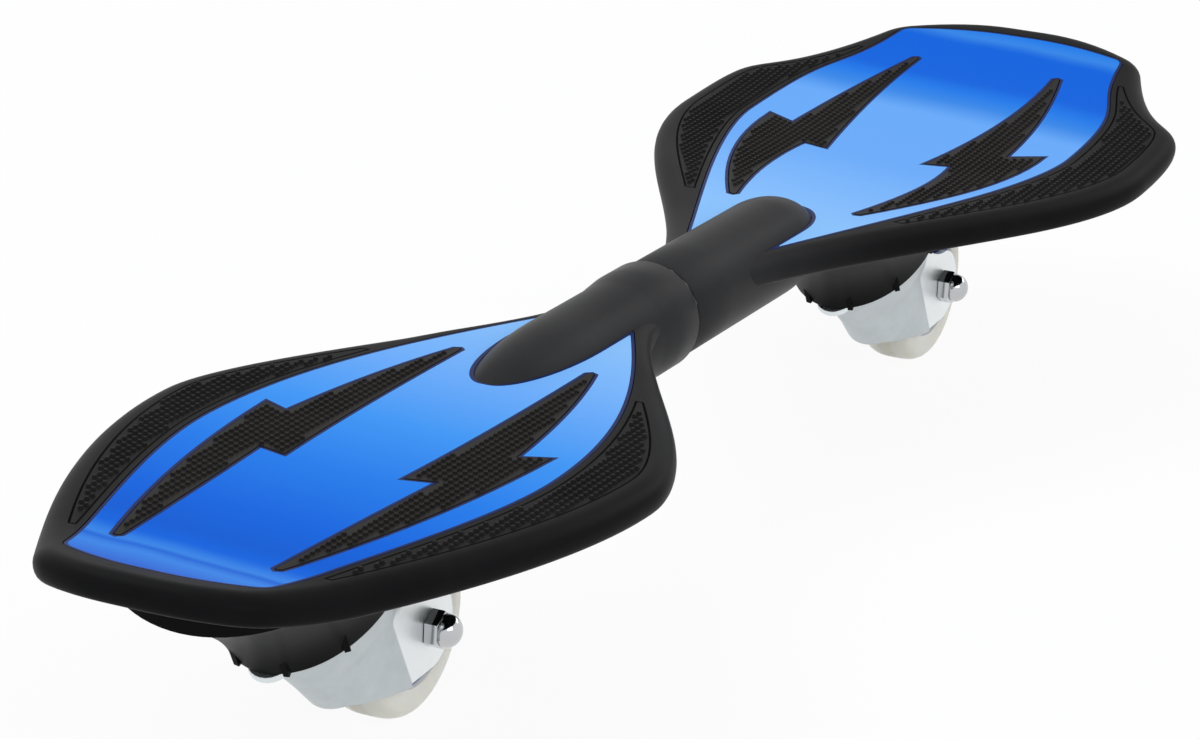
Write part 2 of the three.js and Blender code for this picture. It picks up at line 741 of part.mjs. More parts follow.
// Cage and its balls, which turn together between the races
function ballRingGeometry() {
  const low = ballCentre - cageThickness / 2;
  const high = ballCentre + cageThickness / 2;
  const inner = ballCircleRadius - cageWidth / 2;
  const outer = ballCircleRadius + cageWidth / 2;
  const cage = turned('z', [[inner, low], [outer, low], [outer, high], [inner, high], [inner, low]]);
  const balls = [];
  for (let i = 0; i < ballCount; i += 1) {
    const turn = (Math.PI * 2 * i) / ballCount;
    const ball = new THREE.SphereGeometry(ballRadius, 5, 4).rotateX(Math.PI / 2);
    ball.translate(ballCircleRadius * Math.cos(turn), ballCircleRadius * Math.sin(turn), ballCentre);
    balls.push(solid(ball));
  }
  return geometryOf(joined([solid(cage), ...balls]));
}

// Body through convex sections, each a list of [x, y] at its height, listed from the top down
function sectionBody(sections) {
  const count = sections[0].points.length;
  const positions = [];
  const index = [];
  for (const { height, points } of sections) {
    for (const [x, y] of points) positions.push(x, y, height);
  }
  for (let s = 0; s + 1 < sections.length; s += 1) {
    for (let k = 0; k < count; k += 1) {
      const a = s * count + k;
      const b = s * count + ((k + 1) % count);
      index.push(a, b + count, b, a, a + count, b + count);
    }
  }
  const last = (sections.length - 1) * count;
  for (let k = 1; k + 1 < count; k += 1) {
    index.push(0, k, k + 1);
    index.push(last, last + k + 1, last + k);
  }
  const geometry = new THREE.BufferGeometry();
  geometry.setAttribute('position', new THREE.Float32BufferAttribute(positions, 3));
  geometry.setIndex(index);
  return geometry;
}

// Fork form at a depth below the crown: shoulders draw in to the legs, the nose slopes back
function forkSection(depth, skin, rear) {
  const drawn = THREE.MathUtils.smoothstep(depth, 0, shoulderDepth);
  const slope = Math.min(1, depth / forkDrop);
  const bend = Math.max(0, 1 - depth / crownBend);
  const rounding = crownBend * (1 - Math.sqrt(1 - bend * bend));
  const width = legHalfWidth + (crownHalfWidth - legHalfWidth) * (1 - drawn) - rounding - skin;
  const nose = noseTopReach + (noseBottomReach - noseTopReach) * slope - rounding - skin;
  const points = [[rear, -width]];
  for (let i = 0; i <= forkArcSteps; i += 1) {
    const turn = -Math.PI / 2 + (Math.PI * i) / forkArcSteps;
    points.push([nose * Math.cos(turn), width * Math.sin(turn)]);
  }
  points.push([rear, width]);
  return points;
}

function forkForm(skin, rear) {
  const bottom = forkDrop + axleLugRadius * 2;
  const depths = [
    ...crownBendShares.map((share) => share * crownBend),
    ...shoulderShares.map((share) => share * shoulderDepth),
    forkDrop,
    bottom,
  ];
  return sectionBody(depths.map((depth) => ({
    height: crownTop - skin - depth,
    points: forkSection(depth, skin, rear),
  })));
}

// Depths at which the fork's form is sampled, as shares of its bend and of its shoulder
const crownBendShares = [0, 0.3, 1];
const shoulderShares = [0.3, 0.5, 0.7, 1];

// Side view of the fork, as shares of its drop: nose, swept lower edge, axle lug and waisted rear edge
const forkSideShares = {
  noseTop: [1, 0.1],
  noseBottom: [1, -0.78],
  noseUnder: [0.46, -0.82],
  sweepArc: [0.2, -0.98],
  creaseFoot: [0, -1.12],
  waistArc: [-0.36, -0.66],
  waist: [-0.23, -0.4],
  crownArc: [-0.2, -0.27],
  crownRear: [-0.52, -0.2],
  crownTop: [-0.52, 0.1],
};

function forkSideView() {
  const at = (key) => forkSideShares[key].map((share) => share * forkDrop);
  const view = new THREE.Shape();
  view.moveTo(...at('noseTop'));
  view.lineTo(...at('noseBottom'));
  view.lineTo(...at('noseUnder'));
  view.quadraticCurveTo(...at('sweepArc'), ...at('creaseFoot'));
  view.absarc(-forkTrail, -forkDrop, axleLugRadius, axleLugStart, axleLugEnd, true);
  view.quadraticCurveTo(...at('waistArc'), ...at('waist'));
  view.quadraticCurveTo(...at('crownArc'), ...at('crownRear'));
  view.lineTo(...at('crownTop'));
  const halfWidth = crownHalfWidth + cutOverrun;
  const settings = { depth: halfWidth * 2, bevelEnabled: false, curveSegments: forkArcSteps };
  const geometry = new THREE.ExtrudeGeometry(view, settings);
  return geometry.rotateX(Math.PI / 2).translate(0, halfWidth, 0);
}

function forkGeometry() {
  const rear = -forkTrail - axleLugRadius * 2;
  const shell = solid(forkForm(0, rear)).subtract(solid(forkForm(sheet, rear - cutOverrun)));
  const cornerLow = [rear, -crownHalfWidth * 2, -crownCornerDepth];
  const cornerBlock = block(cornerLow, [0, crownHalfWidth * 2, cutOverrun]);
  const round = rod('z', crownRearRadius, -crownCornerDepth - cutOverrun, cutOverrun * 2);
  const corners = solid(cornerBlock).subtract(solid(round));
  const sideView = solid(forkSideView());
  const axleHole = rod('y', axleRadius + seatGap, -crownHalfWidth, crownHalfWidth, smallSegments);
  axleHole.translate(-forkTrail, 0, -forkDrop);
  const kingpinHole = rod('z', kingpinRadius + turnGap, crownBottom - cutOverrun, cutOverrun);
  const holes = joined([solid(axleHole), solid(kingpinHole), racewayCutter()]);
  return geometryOf(shell.intersect(sideView).subtract(corners).subtract(holes));
}

function kingpinGeometry() {
  const head = rod('z', kingpinHeadRadius, kingpinHeadTop - kingpinHeadHeight, kingpinHeadTop, 6);
  const shank = rod('z', kingpinRadius, kingpinHeadTop - kingpinHeadHeight / 2, kingpinTip);
  return geometryOf(solid(head).add(solid(shank)));
}

function insertGeometry() {
  const nut = solid(rod('z', insertRadius, insertSeatHeight + seatGap, kingpinTip, 6));
  return geometryOf(nut.subtract(solid(rod('z', kingpinRadius + seatGap, 0, kingpinTip + cutOverrun))));
}

function kingpinWasherGeometry() {
  const inner = kingpinRadius + seatGap;
  const low = kingpinWasherTop - kingpinWasherThickness;
  const profile = [
    [inner, low],
    [kingpinWasherRadius, low],
    [kingpinWasherRadius, kingpinWasherTop],
    [inner, kingpinWasherTop],
    [inner, low],
  ];
  return turned('z', profile);
}

// Axle hardware along Y, placed about the wheel's centre
const axleSeat = legHalfWidth + seatGap;
const bearingOuterFace = hubWidth / 2;
const bearingInnerFace = bearingOuterFace - bearingWidth;

function axleBoltGeometry() {
  const head = solid(rod('y', axleHeadRadius, -axleSeat - axleHeadHeight, -axleSeat, 6));
  const shankEnd = axleSeat + capNutHexHeight;
  const shank = solid(rod('y', axleRadius, -axleSeat - axleHeadHeight / 2, shankEnd, smallSegments));
  return geometryOf(head.add(shank));
}

// Domed cap nut: hexagon, collar step and dome, with a blind bore for the bolt
function capNutGeometry() {
  const hex = solid(rod('y', capNutRadius, axleSeat, axleSeat + capNutHexHeight, 6));
  const domeRadius = capNutRadius * Math.cos(Math.PI / 6) - seatGap;
  const profile = [[0, axleSeat + capNutHexHeight / 2], [domeRadius, axleSeat + capNutHexHeight / 2]];
  for (let i = 0; i <= domeSteps; i += 1) {
    const turn = (Math.PI / 2) * (i / domeSteps);
    const away = i === domeSteps ? 0 : domeRadius * Math.cos(turn);
    profile.push([away, axleSeat + capNutHexHeight + domeRadius * Math.sin(turn)]);
  }
  const boreEnd = axleSeat + capNutHexHeight + seatGap;
  const bore = solid(rod('y', axleRadius + seatGap, 0, boreEnd, smallSegments));
  return geometryOf(hex.add(solid(turned('y', profile, smallSegments))).subtract(bore));
}

function ringAlongY(inner, outer, from, to) {
  const profile = [[inner, from], [outer, from], [outer, to], [inner, to], [inner, from]];
  return turned('y', profile, smallSegments);
}

// Tyre section with a flat tread and sides drawn in on an ellipse; its facets lie flat on the floor
function tyreGeometry() {
  const facetGrowth = 1 / Math.cos(Math.PI / wheelSegments);
  const half = tyreWidth / 2;
  const inner = hubRadius + seatGap;
  const profile = [[inner, -half]];
  const shoulder = (sign) => {
    const points = [];
    for (let i = 0; i <= tyreSideSteps; i += 1) {
      const turn = (Math.PI / 2) * (i / tyreSideSteps);
      const radius = tyreSideRadius + (wheelRadius - tyreSideRadius) * Math.sin(turn);
      const along = treadFlat / 2 + (half - treadFlat / 2) * Math.cos(turn);
      points.push([radius * facetGrowth, sign * along]);
    }
    return points;
  };
  profile.push(...shoulder(-1), ...shoulder(1).reverse(), [inner, half], [inner, -half]);
  return turned('y', profile, wheelSegments).rotateY(Math.PI / wheelSegments);
}

// Hub with a rim, a thin web and a boss that holds a bearing in each side
function hubGeometry() {
  const half = hubWidth / 2;
  const web = hubWebThickness / 2;
  const innerRim = hubRadius - hubRim;
  const seat = bearingRadius + seatGap;
  const step = bearingInnerFace - seatGap;
  const right = [
    [spacerRadius + turnGap, -step],
    [seat, -step],
    [seat, -half],
    [hubBossRadius, -half],
    [hubBossRadius, -web],
    [innerRim, -web],
    [innerRim, -half],
    [hubRadius, -half],
  ];
  const left = right.map(([radius, along]) => [radius, -along]).reverse();
  return turned('y', [...right, ...left, right[0]], hubSegments);
}

// Sealed ball bearing with its shield set a little below the outer face
function bearingGeometry() {
  const [low, high] = [bearingInnerFace, bearingOuterFace];
  const inner = bearingBore + bearingRingWall;
  const outer = bearingRadius - bearingRingWall;
  const profile = [
    [bearingBore, low],
    [bearingRadius, low],
    [bearingRadius, high],
    [outer, high],
    [outer, high - bearingShieldDepth],
    [inner, high - bearingShieldDepth],
    [inner, high],
    [bearingBore, high],
    [bearingBore, low],
  ];
  return turned('y', profile, smallSegments);
}

// Swivel parts of one caster in the frame of its inclined axis
function swivelPieces(name, wheelPlace) {
  const swivel = new THREE.Group();
  swivel.position.copy(swivelCentre(wheelPlace));
  swivel.rotation.y = swivelLean;
  swivel.add(
    piece(`${name}_race_plate`, racePlateGeometry(), 'zincSteel'),
    piece(`${name}_plate_screw`, plateScrewGeometry(), 'zincSteel'),
    piece(`${name}_ball_ring`, ballRingGeometry(), 'chromeSteel'),
    piece(`${name}_fork`, forkGeometry(), 'zincSteel'),
    piece(`${name}_kingpin_bolt`, kingpinGeometry(), 'zincSteel'),
    piece(`${name}_kingpin_washer`, kingpinWasherGeometry(), 'zincSteel'),
    piece(`${name}_kingpin_nut`, insertGeometry(), 'zincSteel'),
  );
  return swivel;
}

// Wheel and axle of one caster about the wheel's centre
function wheelPieces(name, wheelPlace) {
  const wheel = new THREE.Group();
  wheel.position.set(wheelPlace, 0, wheelRadius);
  const spacerReach = bearingInnerFace - seatGap;
  const washerFrom = bearingOuterFace + seatGap;
  const washerTo = legGap / 2 - seatGap;
  const bore = axleRadius + seatGap;
  wheel.add(
    piece(`${name}_tyre`, tyreGeometry(), 'tyreUrethane'),
    piece(`${name}_hub`, hubGeometry(), 'hubNylon'),
    piece(`${name}_bearing_left`, bearingGeometry(), 'chromeSteel'),
    piece(`${name}_bearing_right`, bearingGeometry().rotateZ(Math.PI), 'chromeSteel'),
    piece(`${name}_bearing_spacer`, ringAlongY(bore, spacerRadius, -spacerReach, spacerReach), 'zincSteel'),
    piece(`${name}_axle_washer_left`, ringAlongY(bore, spacerRadius, washerFrom, washerTo), 'zincSteel'),
    piece(`${name}_axle_washer_right`, ringAlongY(bore, spacerRadius, -washerTo, -washerFrom), 'zincSteel'),
    piece(`${name}_axle_bolt`, axleBoltGeometry(), 'zincSteel'),
    piece(`${name}_cap_nut`, capNutGeometry(), 'chromeSteel'),
  );
  return wheel;
}

function casterBoard() {
  const board = new THREE.Group();
  board.add(...deckPieces(frontDeck, 'front'), ...deckPieces(rearDeck, 'rear'));
  board.add(neckPieces());
  for (const [name, wheelPlace] of [['front', frontWheelPlace], ['rear', rearWheelPlace]]) {
    board.add(swivelPieces(name, wheelPlace), wheelPieces(name, wheelPlace));
  }
  return board;
}

export default casterBoard();
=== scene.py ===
import math

import bmesh
import bpy
from mathutils import Matrix, Vector


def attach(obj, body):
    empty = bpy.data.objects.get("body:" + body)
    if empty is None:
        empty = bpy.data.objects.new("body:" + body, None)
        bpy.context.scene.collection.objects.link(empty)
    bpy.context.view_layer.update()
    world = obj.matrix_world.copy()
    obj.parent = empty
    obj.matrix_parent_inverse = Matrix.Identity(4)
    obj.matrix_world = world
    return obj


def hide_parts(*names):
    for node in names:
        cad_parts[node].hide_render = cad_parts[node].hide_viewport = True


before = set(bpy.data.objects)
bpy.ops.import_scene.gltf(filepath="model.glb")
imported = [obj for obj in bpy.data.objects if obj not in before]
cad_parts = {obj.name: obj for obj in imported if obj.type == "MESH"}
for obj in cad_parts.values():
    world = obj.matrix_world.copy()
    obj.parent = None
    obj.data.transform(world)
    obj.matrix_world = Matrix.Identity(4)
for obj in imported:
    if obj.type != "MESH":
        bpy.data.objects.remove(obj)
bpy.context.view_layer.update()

# Sizes, in millimetres
REACH, DECK_TOP = 432.0, 112.0
RIM_ROUND, RIM_ROUND_DEPTH, RIM_DEPTH = 9.0, 7.0, 12.5
LIP_INSET, LIP_WIDTH, LIP_CHAMFER, WALL, SKIN = 3.0, 3.4, 0.5, 3.2, 3.6
SEAT_GAP, PARTING_GAP = 0.3, 1.3
PANEL_THICKNESS, PANEL_CHAMFER, PANEL_BORDER = 2.0, 0.25, 1.5
END_CORNER, PANEL_CORNER = 9.0, 5.0
NECK_RADIUS, NECK_HEIGHT, NOSE_START, NECK_OVERLAP = 22.4, 100.0, 100.0, 26.0
COLLAR_RISE, COLLAR_LENGTH, NECK_CHAMFER = 1.4, 34.0, 1.2
SLIM_END, SLIM_RUN = 104.0, 26.0
KICK_CUT_START, KICK_CUT_STEP = 2.0, 9.0
RIB_PITCH, RIB_DEPTH, RIB_THICKNESS, RIB_SINK = 54.0, 11.0, 2.4, 1.0
BOSS_RADIUS, BOSS_WALL, BOSS_HUB, BOSS_SPARE, BOSS_TOP = 32.0, 3.0, 13.5, 24.0, DECK_TOP - 2.7
BOSS_WEBS, BOSS_FINS, FIN_REACH, BOSS_CHAMFER = 6, 10, 1.5, 0.6
SKIRT_LONG, SKIRT_WIDE, SKIRT_SHIFT, SKIRT_FLARE, SKIRT_LIP = 45.5, 33.0, 11.0, 32.0, 1.0
GROOVE_INSET, GROOVE_HALF, GROOVE_DEPTH = 9.9, 0.5, 0.8
PATCH_GAP, PATCH_LEAST, PATCH_STEPS = 2.6, 3.2, 80
BOLT_TIP, BOLT_STEP, BOLT_RISE = 1.4, 5.0, 0.2
STUD_PITCH, STUD_RADIUS, STUD_HEIGHT, STUD_SINK, ROW_SHARE = 3.8, 1.4, 1.0, 0.2, 0.866
PATCH_MARGIN, BOLT_MARGIN = 2.3, 1.6
LEAN = math.radians(30)
WHEEL_RADIUS, FORK_TRAIL, FORK_DROP = 38.0, 24.0, 60.0
PLATE_RADIUS, TONGUE_HALF, TONGUE_REACH, PIN_HOLE = 30.0, 8.5, 49.5, 5.4
ALONG = {"X": Vector((1, 0, 0)), "Y": Vector((0, 1, 0)), "Z": Vector((0, 0, 1))}

# Outline points are shares of the half length and of the deck's half width.

FRONT = {
    "name": "front", "half": 107.0, "kick": 8.0, "kick_start": 0.87 * REACH, "nose": 74.0, "turn": 0.0,
    "parting": 12.0, "collar": COLLAR_RISE, "bore": (16.3, 92.3), "wheel": 236.0, "patch": (150.0, 394.0),
    "slim": 0.72,
    "outline": {
        "start": (0.104, 0.2), "flare": (0.2, 0.2), "shoulder_in": (0.414, 1), "shoulder": (0.538, 1),
        "shoulder_out": (0.695, 1), "taper": (0.866, 0.655), "corner": (0.972, 0.412), "middle": (1, 0.06)},
    "panel": {
        "start": (0.155, 0.168), "flare": (0.272, 0.411), "shoulder_in": (0.408, 0.69),
        "shoulder": (0.582, 0.69), "shoulder_out": (0.692, 0.69), "taper": (0.834, 0.482),
        "corner": (0.938, 0.388), "middle": (0.96, 0.05)},
    "bolt": [
        ((0.291, 0.27), (0.4, 0.404), (0.544, 0.455)),
        ((0.531, 0.563), (0.722, 0.52), (0.897, 0.296)),
        ((0.897, 0.296), (0.735, 0.33), (0.631, 0.362)),
        ((0.639, 0.244), (0.497, 0.279), (0.291, 0.27))],
}
REAR = {
    "name": "rear", "half": 119.0, "kick": 22.0, "kick_start": 0.44 * REACH, "nose": 42.0, "turn": math.pi,
    "parting": -12.0, "collar": 0.0, "bore": (19.1, 84.3), "wheel": -286.0, "patch": (136.0, 399.0),
    "slim": 1.0,
    "outline": {
        "start": (0.104, 0.188), "flare": (0.285, 0.392), "shoulder_in": (0.478, 1), "shoulder": (0.63, 1),
        "shoulder_out": (0.852, 1), "taper": (0.713, 0.898), "corner": (0.953, 0.555), "middle": (1, 0.08)},
    "panel": {
        "start": (0.142, 0.156), "flare": (0.307, 0.365), "shoulder_in": (0.529, 0.688),
        "shoulder": (0.627, 0.688), "shoulder_out": (0.835, 0.688), "taper": (0.785, 0.57),
        "corner": (0.942, 0.495), "middle": (0.967, 0.06)},
    "bolt": [
        ((0.308, 0.239), (0.49, 0.585), (0.618, 0.578)),
        ((0.598, 0.449), (0.748, 0.427), (0.877, 0.301)),
        ((0.877, 0.301), (0.738, 0.348), (0.538, 0.219)),
        ((0.545, 0.319), (0.45, 0.371), (0.308, 0.239))],
}


# Finishes
class Wire:
    """One shader value, so that finishes can be written as sums."""

    def __init__(self, finish, socket):
        self.finish, self.socket = finish, socket

    def maths(self, operation, *others):
        return self.finish.node("ShaderNodeMath", dict(enumerate((self,) + others)), operation=operation)

    def clamped(self):
        return self.maths("MAXIMUM", 0).maths("MINIMUM", 1)

    def __add__(self, other):
        return self.maths("ADD", other)

    def __sub__(self, other):
        return self.maths("SUBTRACT", other)

    def __rsub__(self, other):
        return self.finish.node("ShaderNodeMath", {0: other, 1: self}, operation="SUBTRACT")

    def __mul__(self, other):
        return self.maths("MULTIPLY", other)

    __radd__, __rmul__ = __add__, __mul__


class Finish:
    """The shader of a new material or world, built from nodes on the piece's own coordinates."""

    def __init__(self, name, family=bpy.data.materials):
        self.owner = family.new(name)
        self.owner.use_nodes = True
        self.tree = self.owner.node_tree
        self.tree.nodes.clear()
        self.place = self.node("ShaderNodeTexCoord", {}, "Object")

    def node(self, kind, inputs, output=0, stops=(), **settings):
        made = self.tree.nodes.new(kind)
        for key, value in settings.items():
            setattr(made, key, value)
        for i, (at, colour) in enumerate(stops):
            elements = made.color_ramp.elements
            if i == 0:
                elements.remove(elements[1])
            stop = elements[0] if i == 0 else elements.new(at)
            stop.position, stop.color = at, (*colour, 1)
        for key, value in inputs.items():
            if isinstance(value, Wire):
                self.tree.links.new(value.socket, made.inputs[key])
            else:
                made.inputs[key].default_value = value
        return Wire(self, made.outputs[output]) if made.outputs else None

    def axis(self, index):
        return self.node("ShaderNodeSeparateXYZ", {0: self.place}, index)

    def speckle(self, scale, detail=3.0, roughness=0.55):
        inputs = {"Vector": self.place, "Scale": scale, "Detail": detail, "Roughness": roughness}
        return self.node("ShaderNodeTexNoise", inputs)

    def blend(self, fac, *colours):
        """Two colours mixed, each of them a wire or three values."""
        first, second = (c if isinstance(c, Wire) else (*c, 1) for c in colours)
        return self.node("ShaderNodeMix", {0: fac, 6: first, 7: second}, 2, data_type="RGBA")

    def grain(self, scale, strength, distance, detail=2.0):
        inputs = {"Height": self.speckle(scale, detail), "Strength": strength, "Distance": distance}
        return self.node("ShaderNodeBump", inputs)

    def seen(self):
        """1 where the camera looks, straight or by a mirror or glass, and 0 for all other light."""
        kinds = ("Camera", "Glossy", "Transmission")
        camera, glossy, through = (self.node("ShaderNodeLightPath", {}, f"Is {kind} Ray") for kind in kinds)
        return camera.maths("MAXIMUM", glossy).maths("MAXIMUM", through)

    def end(self, kind, shader):
        self.node(kind, {0: shader})
        return self.owner

    def surface(self, inputs):
        return self.end("ShaderNodeOutputMaterial", self.node("ShaderNodeBsdfPrincipled", inputs))


def linear(red, green, blue):
    """A screen colour, 0 to 255, as the shader's own values."""
    shares = (red / 255, green / 255, blue / 255)
    return tuple(c / 12.92 if c <= 0.04045 else ((c + 0.055) / 1.055) ** 2.4 for c in shares)


def eased(share):
    """0 to 1 with a soft start and end."""
    share = max(0.0, min(1.0, share))
    return share * share * (3 - 2 * share)


def moulded_black(name, dark, light, rough, grain, shine, sheen_by_neck=None):
    """Grained black moulding; the optional last pair is the paler pair of shades, a painted sheen, that it
    starts from beside the neck.
    """
    finish = Finish(name)
    cloud = finish.speckle(28.0)
    colour = finish.blend(cloud, dark, light)
    if sheen_by_neck:
        away = ((finish.axis(0).maths("ABSOLUTE") - 0.05) * 15).clamped()
        colour = finish.blend(away, finish.blend(cloud, *sheen_by_neck), colour)
    return finish.surface({
        "Base Color": colour, "Roughness": rough - 0.05 + cloud * 0.12,
        "Normal": finish.grain(grain, 0.22, 0.00012), "Specular IOR Level": shine})


def glossy_inlay():
    """Blue that runs from pale by the neck to full at the ends, partly print and partly painted sheen, with a
    painted highlight band and a painted dark line for a crease near the front end, and painted reflections
    near the rear end.

    Seven screen colours, each at its places in metres along the board."""
    pale, sky, clear, strong = (136, 192, 250), (104, 169, 246), (60, 149, 241), (28, 122, 231)
    full, deep, painted_sheen_blue = (3, 99, 219), (2, 92, 209), (54, 135, 229)
    # Stops at 0.388 and 0.397 are a painted highlight on each side of a painted dark line at 0.3925 for the
    # front crease; stops at -0.406 and -0.322 are painted reflections near the rear end.
    shades = [
        (-0.416, strong), (-0.406, painted_sheen_blue), (-0.396, full), (-0.352, full), (-0.337, strong), (-0.322, painted_sheen_blue),
        (-0.3, sky), (-0.224, sky), (-0.12, pale), (0.09, pale), (0.162, sky), (0.222, clear),
        (0.282, strong), (0.338, full), (0.366, deep), (0.379, full), (0.388, painted_sheen_blue), (0.3925, deep),
        (0.397, painted_sheen_blue), (0.415, deep)]
    finish = Finish("glossy_blue_inlay")
    cloud = finish.speckle(9.0)
    reach = finish.axis(0) - finish.axis(1) * 0.15 + (cloud - 0.5) * 0.016
    half = 0.44
    stops = [((place + half) / (2 * half), linear(*shade)) for place, shade in shades]
    colour = finish.node("ShaderNodeValToRGB", {0: (reach + half) * (1 / (2 * half))}, stops=stops)
    return finish.surface({
        "Base Color": colour, "Roughness": 0.16 + cloud * 0.08, "Specular IOR Level": 0.006,
        "Normal": finish.grain(260.0, 0.04, 0.0001, 1.0)})


def clouded(name, dark, light, scale, rough, spread, grain=None, fixed=None):
    """Two shades in soft clouds, and a fine grain where one is given."""
    finish = Finish(name)
    cloud = finish.speckle(scale)
    inputs = {"Base Color": finish.blend(cloud, dark, light), "Roughness": rough + cloud * spread}
    if grain:
        inputs["Normal"] = finish.grain(*grain)
    return finish.surface({**inputs, **(fixed or {})})


def plated(name, dark, light, rough, spread, scale):
    return clouded(name, dark, light, scale, rough, spread, (scale * 14, 0.05, 0.00008), {"Metallic": 1.0})


def cast_urethane():
    finish = Finish("cast_urethane")
    cloud = finish.speckle(30.0)
    band = finish.axis(1).maths("ABSOLUTE").maths("LESS_THAN", 0.0036)
    colour = finish.blend(cloud, linear(252, 250, 240), linear(246, 243, 228))
    return finish.surface({
        "Base Color": finish.blend(band * 0.3, colour, linear(228, 224, 208)),
        "Roughness": 0.28 + band * 0.18 + cloud * 0.08, "Normal": finish.grain(700.0, 0.06, 0.0001),
        "Subsurface Weight": 0.45, "Subsurface Radius": (1.0, 0.85, 0.6), "Subsurface Scale": 0.006})


def moulded_nylon(name, dark, light, rough):
    return clouded(name, dark, light, 60.0, rough, 0.1, (900.0, 0.08, 0.0001))


# The neck is the same black plastic as the deck: its paler shades, also given to the deck beside it, are a
# painted sheen.
NECK_SHEEN_SHADES = (linear(40, 40, 41), linear(52, 52, 53))
deck_black = moulded_black(
    "moulded_deck_black", linear(16, 16, 17), linear(27, 27, 28), 0.38, 1500.0, 0.018, NECK_SHEEN_SHADES)
grip_black = moulded_black("grip_stud_black", linear(22, 21, 20), linear(44, 42, 41), 0.42, 1900.0, 0.03)
neck_black = moulded_black("neck_black", *NECK_SHEEN_SHADES, 0.34, 1500.0, 0.024)
inlay_blue = glossy_inlay()
inlay_navy = clouded(
    "navy_inlay_border", linear(4, 22, 70), linear(8, 34, 92), 40.0, 0.3, 0.1,
    fixed={"Specular IOR Level": 0.03})
zinc = plated("bright_zinc", linear(212, 219, 222), linear(233, 238, 240), 0.36, 0.14, 45.0)
chrome = plated("polished_chrome", (0.46, 0.47, 0.49), (0.56, 0.57, 0.58), 0.06, 0.06, 60.0)
ball_steel = plated("bearing_steel", (0.6, 0.6, 0.62), (0.72, 0.72, 0.74), 0.14, 0.1, 90.0)
spring_steel = plated("spring_steel", (0.07, 0.07, 0.075), (0.14, 0.14, 0.15), 0.35, 0.15, 80.0)
urethane = cast_urethane()
hub_blue = moulded_nylon("hub_blue_nylon", linear(12, 58, 150), linear(20, 78, 178), 0.28)
bearing_nylon = moulded_nylon("white_nylon", linear(214, 210, 198), linear(232, 228, 216), 0.42)
washer_nylon = moulded_nylon("black_nylon", linear(18, 18, 19), linear(30, 30, 31), 0.4)


# Outlines
def arc_points(points, steps):
    """Points along an arc with one or two pull points."""
    made = []
    for i in range(steps + 1):
        t = i / steps
        level = [Vector(p) for p in points]
        while len(level) > 1:
            level = [a.lerp(b, t) for a, b in zip(level, level[1:])]
        made.append(level[0])
    return made


def swept(centre, long, wide, start, end, steps):
    """Points round part of an oval, from one angle to another."""
    turns = [start + (end - start) * i / steps for i in range(steps + 1)]
    return [Vector((centre[0] + long * math.cos(turn), centre[1] + wide * math.sin(turn))) for turn in turns]


def side_line(deck, shares, corner_run, fine=6):
    """One side of an outline from the neck round the corner to mid-end."""
    at = {key: Vector((place * REACH, width * deck["half"])) for key, (place, width) in shares.items()}
    pull = Vector((at["middle"].x, at["corner"].y / 2))
    before = at["corner"] + (at["taper"] - at["corner"]).normalized() * corner_run
    after = at["corner"] + (pull - at["corner"]).normalized() * corner_run
    line = arc_points([at["start"], at["flare"], at["shoulder_in"], at["shoulder"]], 6 * fine)
    line += arc_points([at["shoulder"], at["shoulder_out"], at["taper"], before], 6 * fine)[1:]
    line += arc_points([before, at["corner"], after], fine + 2)[1:]
    line += arc_points([after, pull, at["middle"]], fine + 2)[1:]
    return line


def moved_in(line, inset, slim=1.0):
    """One side moved in square to itself, by less beside the neck where slim is under 1."""
    moved = []
    for i, point in enumerate(line):
        reach = inset * (slim + (1 - slim) * eased((point.x - SLIM_END) / SLIM_RUN))
        if i == 0:
            moved.append(Vector((point.x, point.y - reach)))
            continue
        after = line[i + 1] if i + 1 < len(line) else Vector((point.x, 0))
        run = (after - line[i - 1]).normalized()
        moved.append(Vector((point.x + run.y * reach, point.y - run.x * reach)))
    return moved


def level_ring(line, height):
    return [Vector((p.x, p.y, height)) for p in line]


def flipped(line):
    return [Vector((p.x, -p.y)) for p in line]


def both_sides(line, height):
    return level_ring(flipped(line) + line[::-1], height)


def width_at(line, place):
    for a, b in zip(line, line[1:]):
        if a.x <= place <= b.x and b.x > a.x:
            return a.y + (b.y - a.y) * (place - a.x) / (b.x - a.x)
    return line[-1].y


def kick_lift(deck, place):
    share = max(0.0, (place - deck["kick_start"]) / (REACH - deck["kick_start"]))
    return deck["kick"] * share * share


def blunted(line, width):
    """Closed outline whose sharp tips are cut off square."""
    made = []
    for i, point in enumerate(line):
        back = (line[i - 1] - point).normalized()
        ahead = (line[(i + 1) % len(line)] - point).normalized()
        turn = back.angle(ahead)
        if turn < math.radians(50):
            run = width / 2 / math.sin(turn / 2)
            snub = (back + ahead).normalized() * (run * math.cos(turn / 2) - width * 0.36)
            made += [point + back * run, point + snub, point + ahead * run]
        else:
            made.append(point)
    return made


def grown(line, reach):
    """Closed outline moved square to itself."""
    area = sum(a.x * b.y - b.x * a.y for a, b in zip(line, line[1:] + line[:1]))
    sign = 1 if area > 0 else -1
    moved = []
    for i, point in enumerate(line):
        arrive = (point - line[i - 1]).normalized()
        leave = (line[(i + 1) % len(line)] - point).normalized()
        normal = Vector((arrive.y + leave.y, -arrive.x - leave.x)).normalized()
        mitre = max(0.5, normal.dot(Vector((leave.y, -leave.x))))
        moved.append(point + normal * (sign * reach / mitre))
    return moved


def bolt_line(deck, side):
    """Zigzag grip patch in plan, on one side of the board."""
    line = []
    for corners in deck["bolt"]:
        at = [Vector((place * REACH, width * deck["half"] * side)) for place, width in corners]
        steps = max(2, min(12, round((at[-1] - at[0]).length / BOLT_STEP)))
        line += [p for p in arc_points(at, steps) if not line or (p - line[-1]).length > 0.01]
    return grown(blunted(line[:-1], BOLT_TIP), BOLT_TIP / 2)


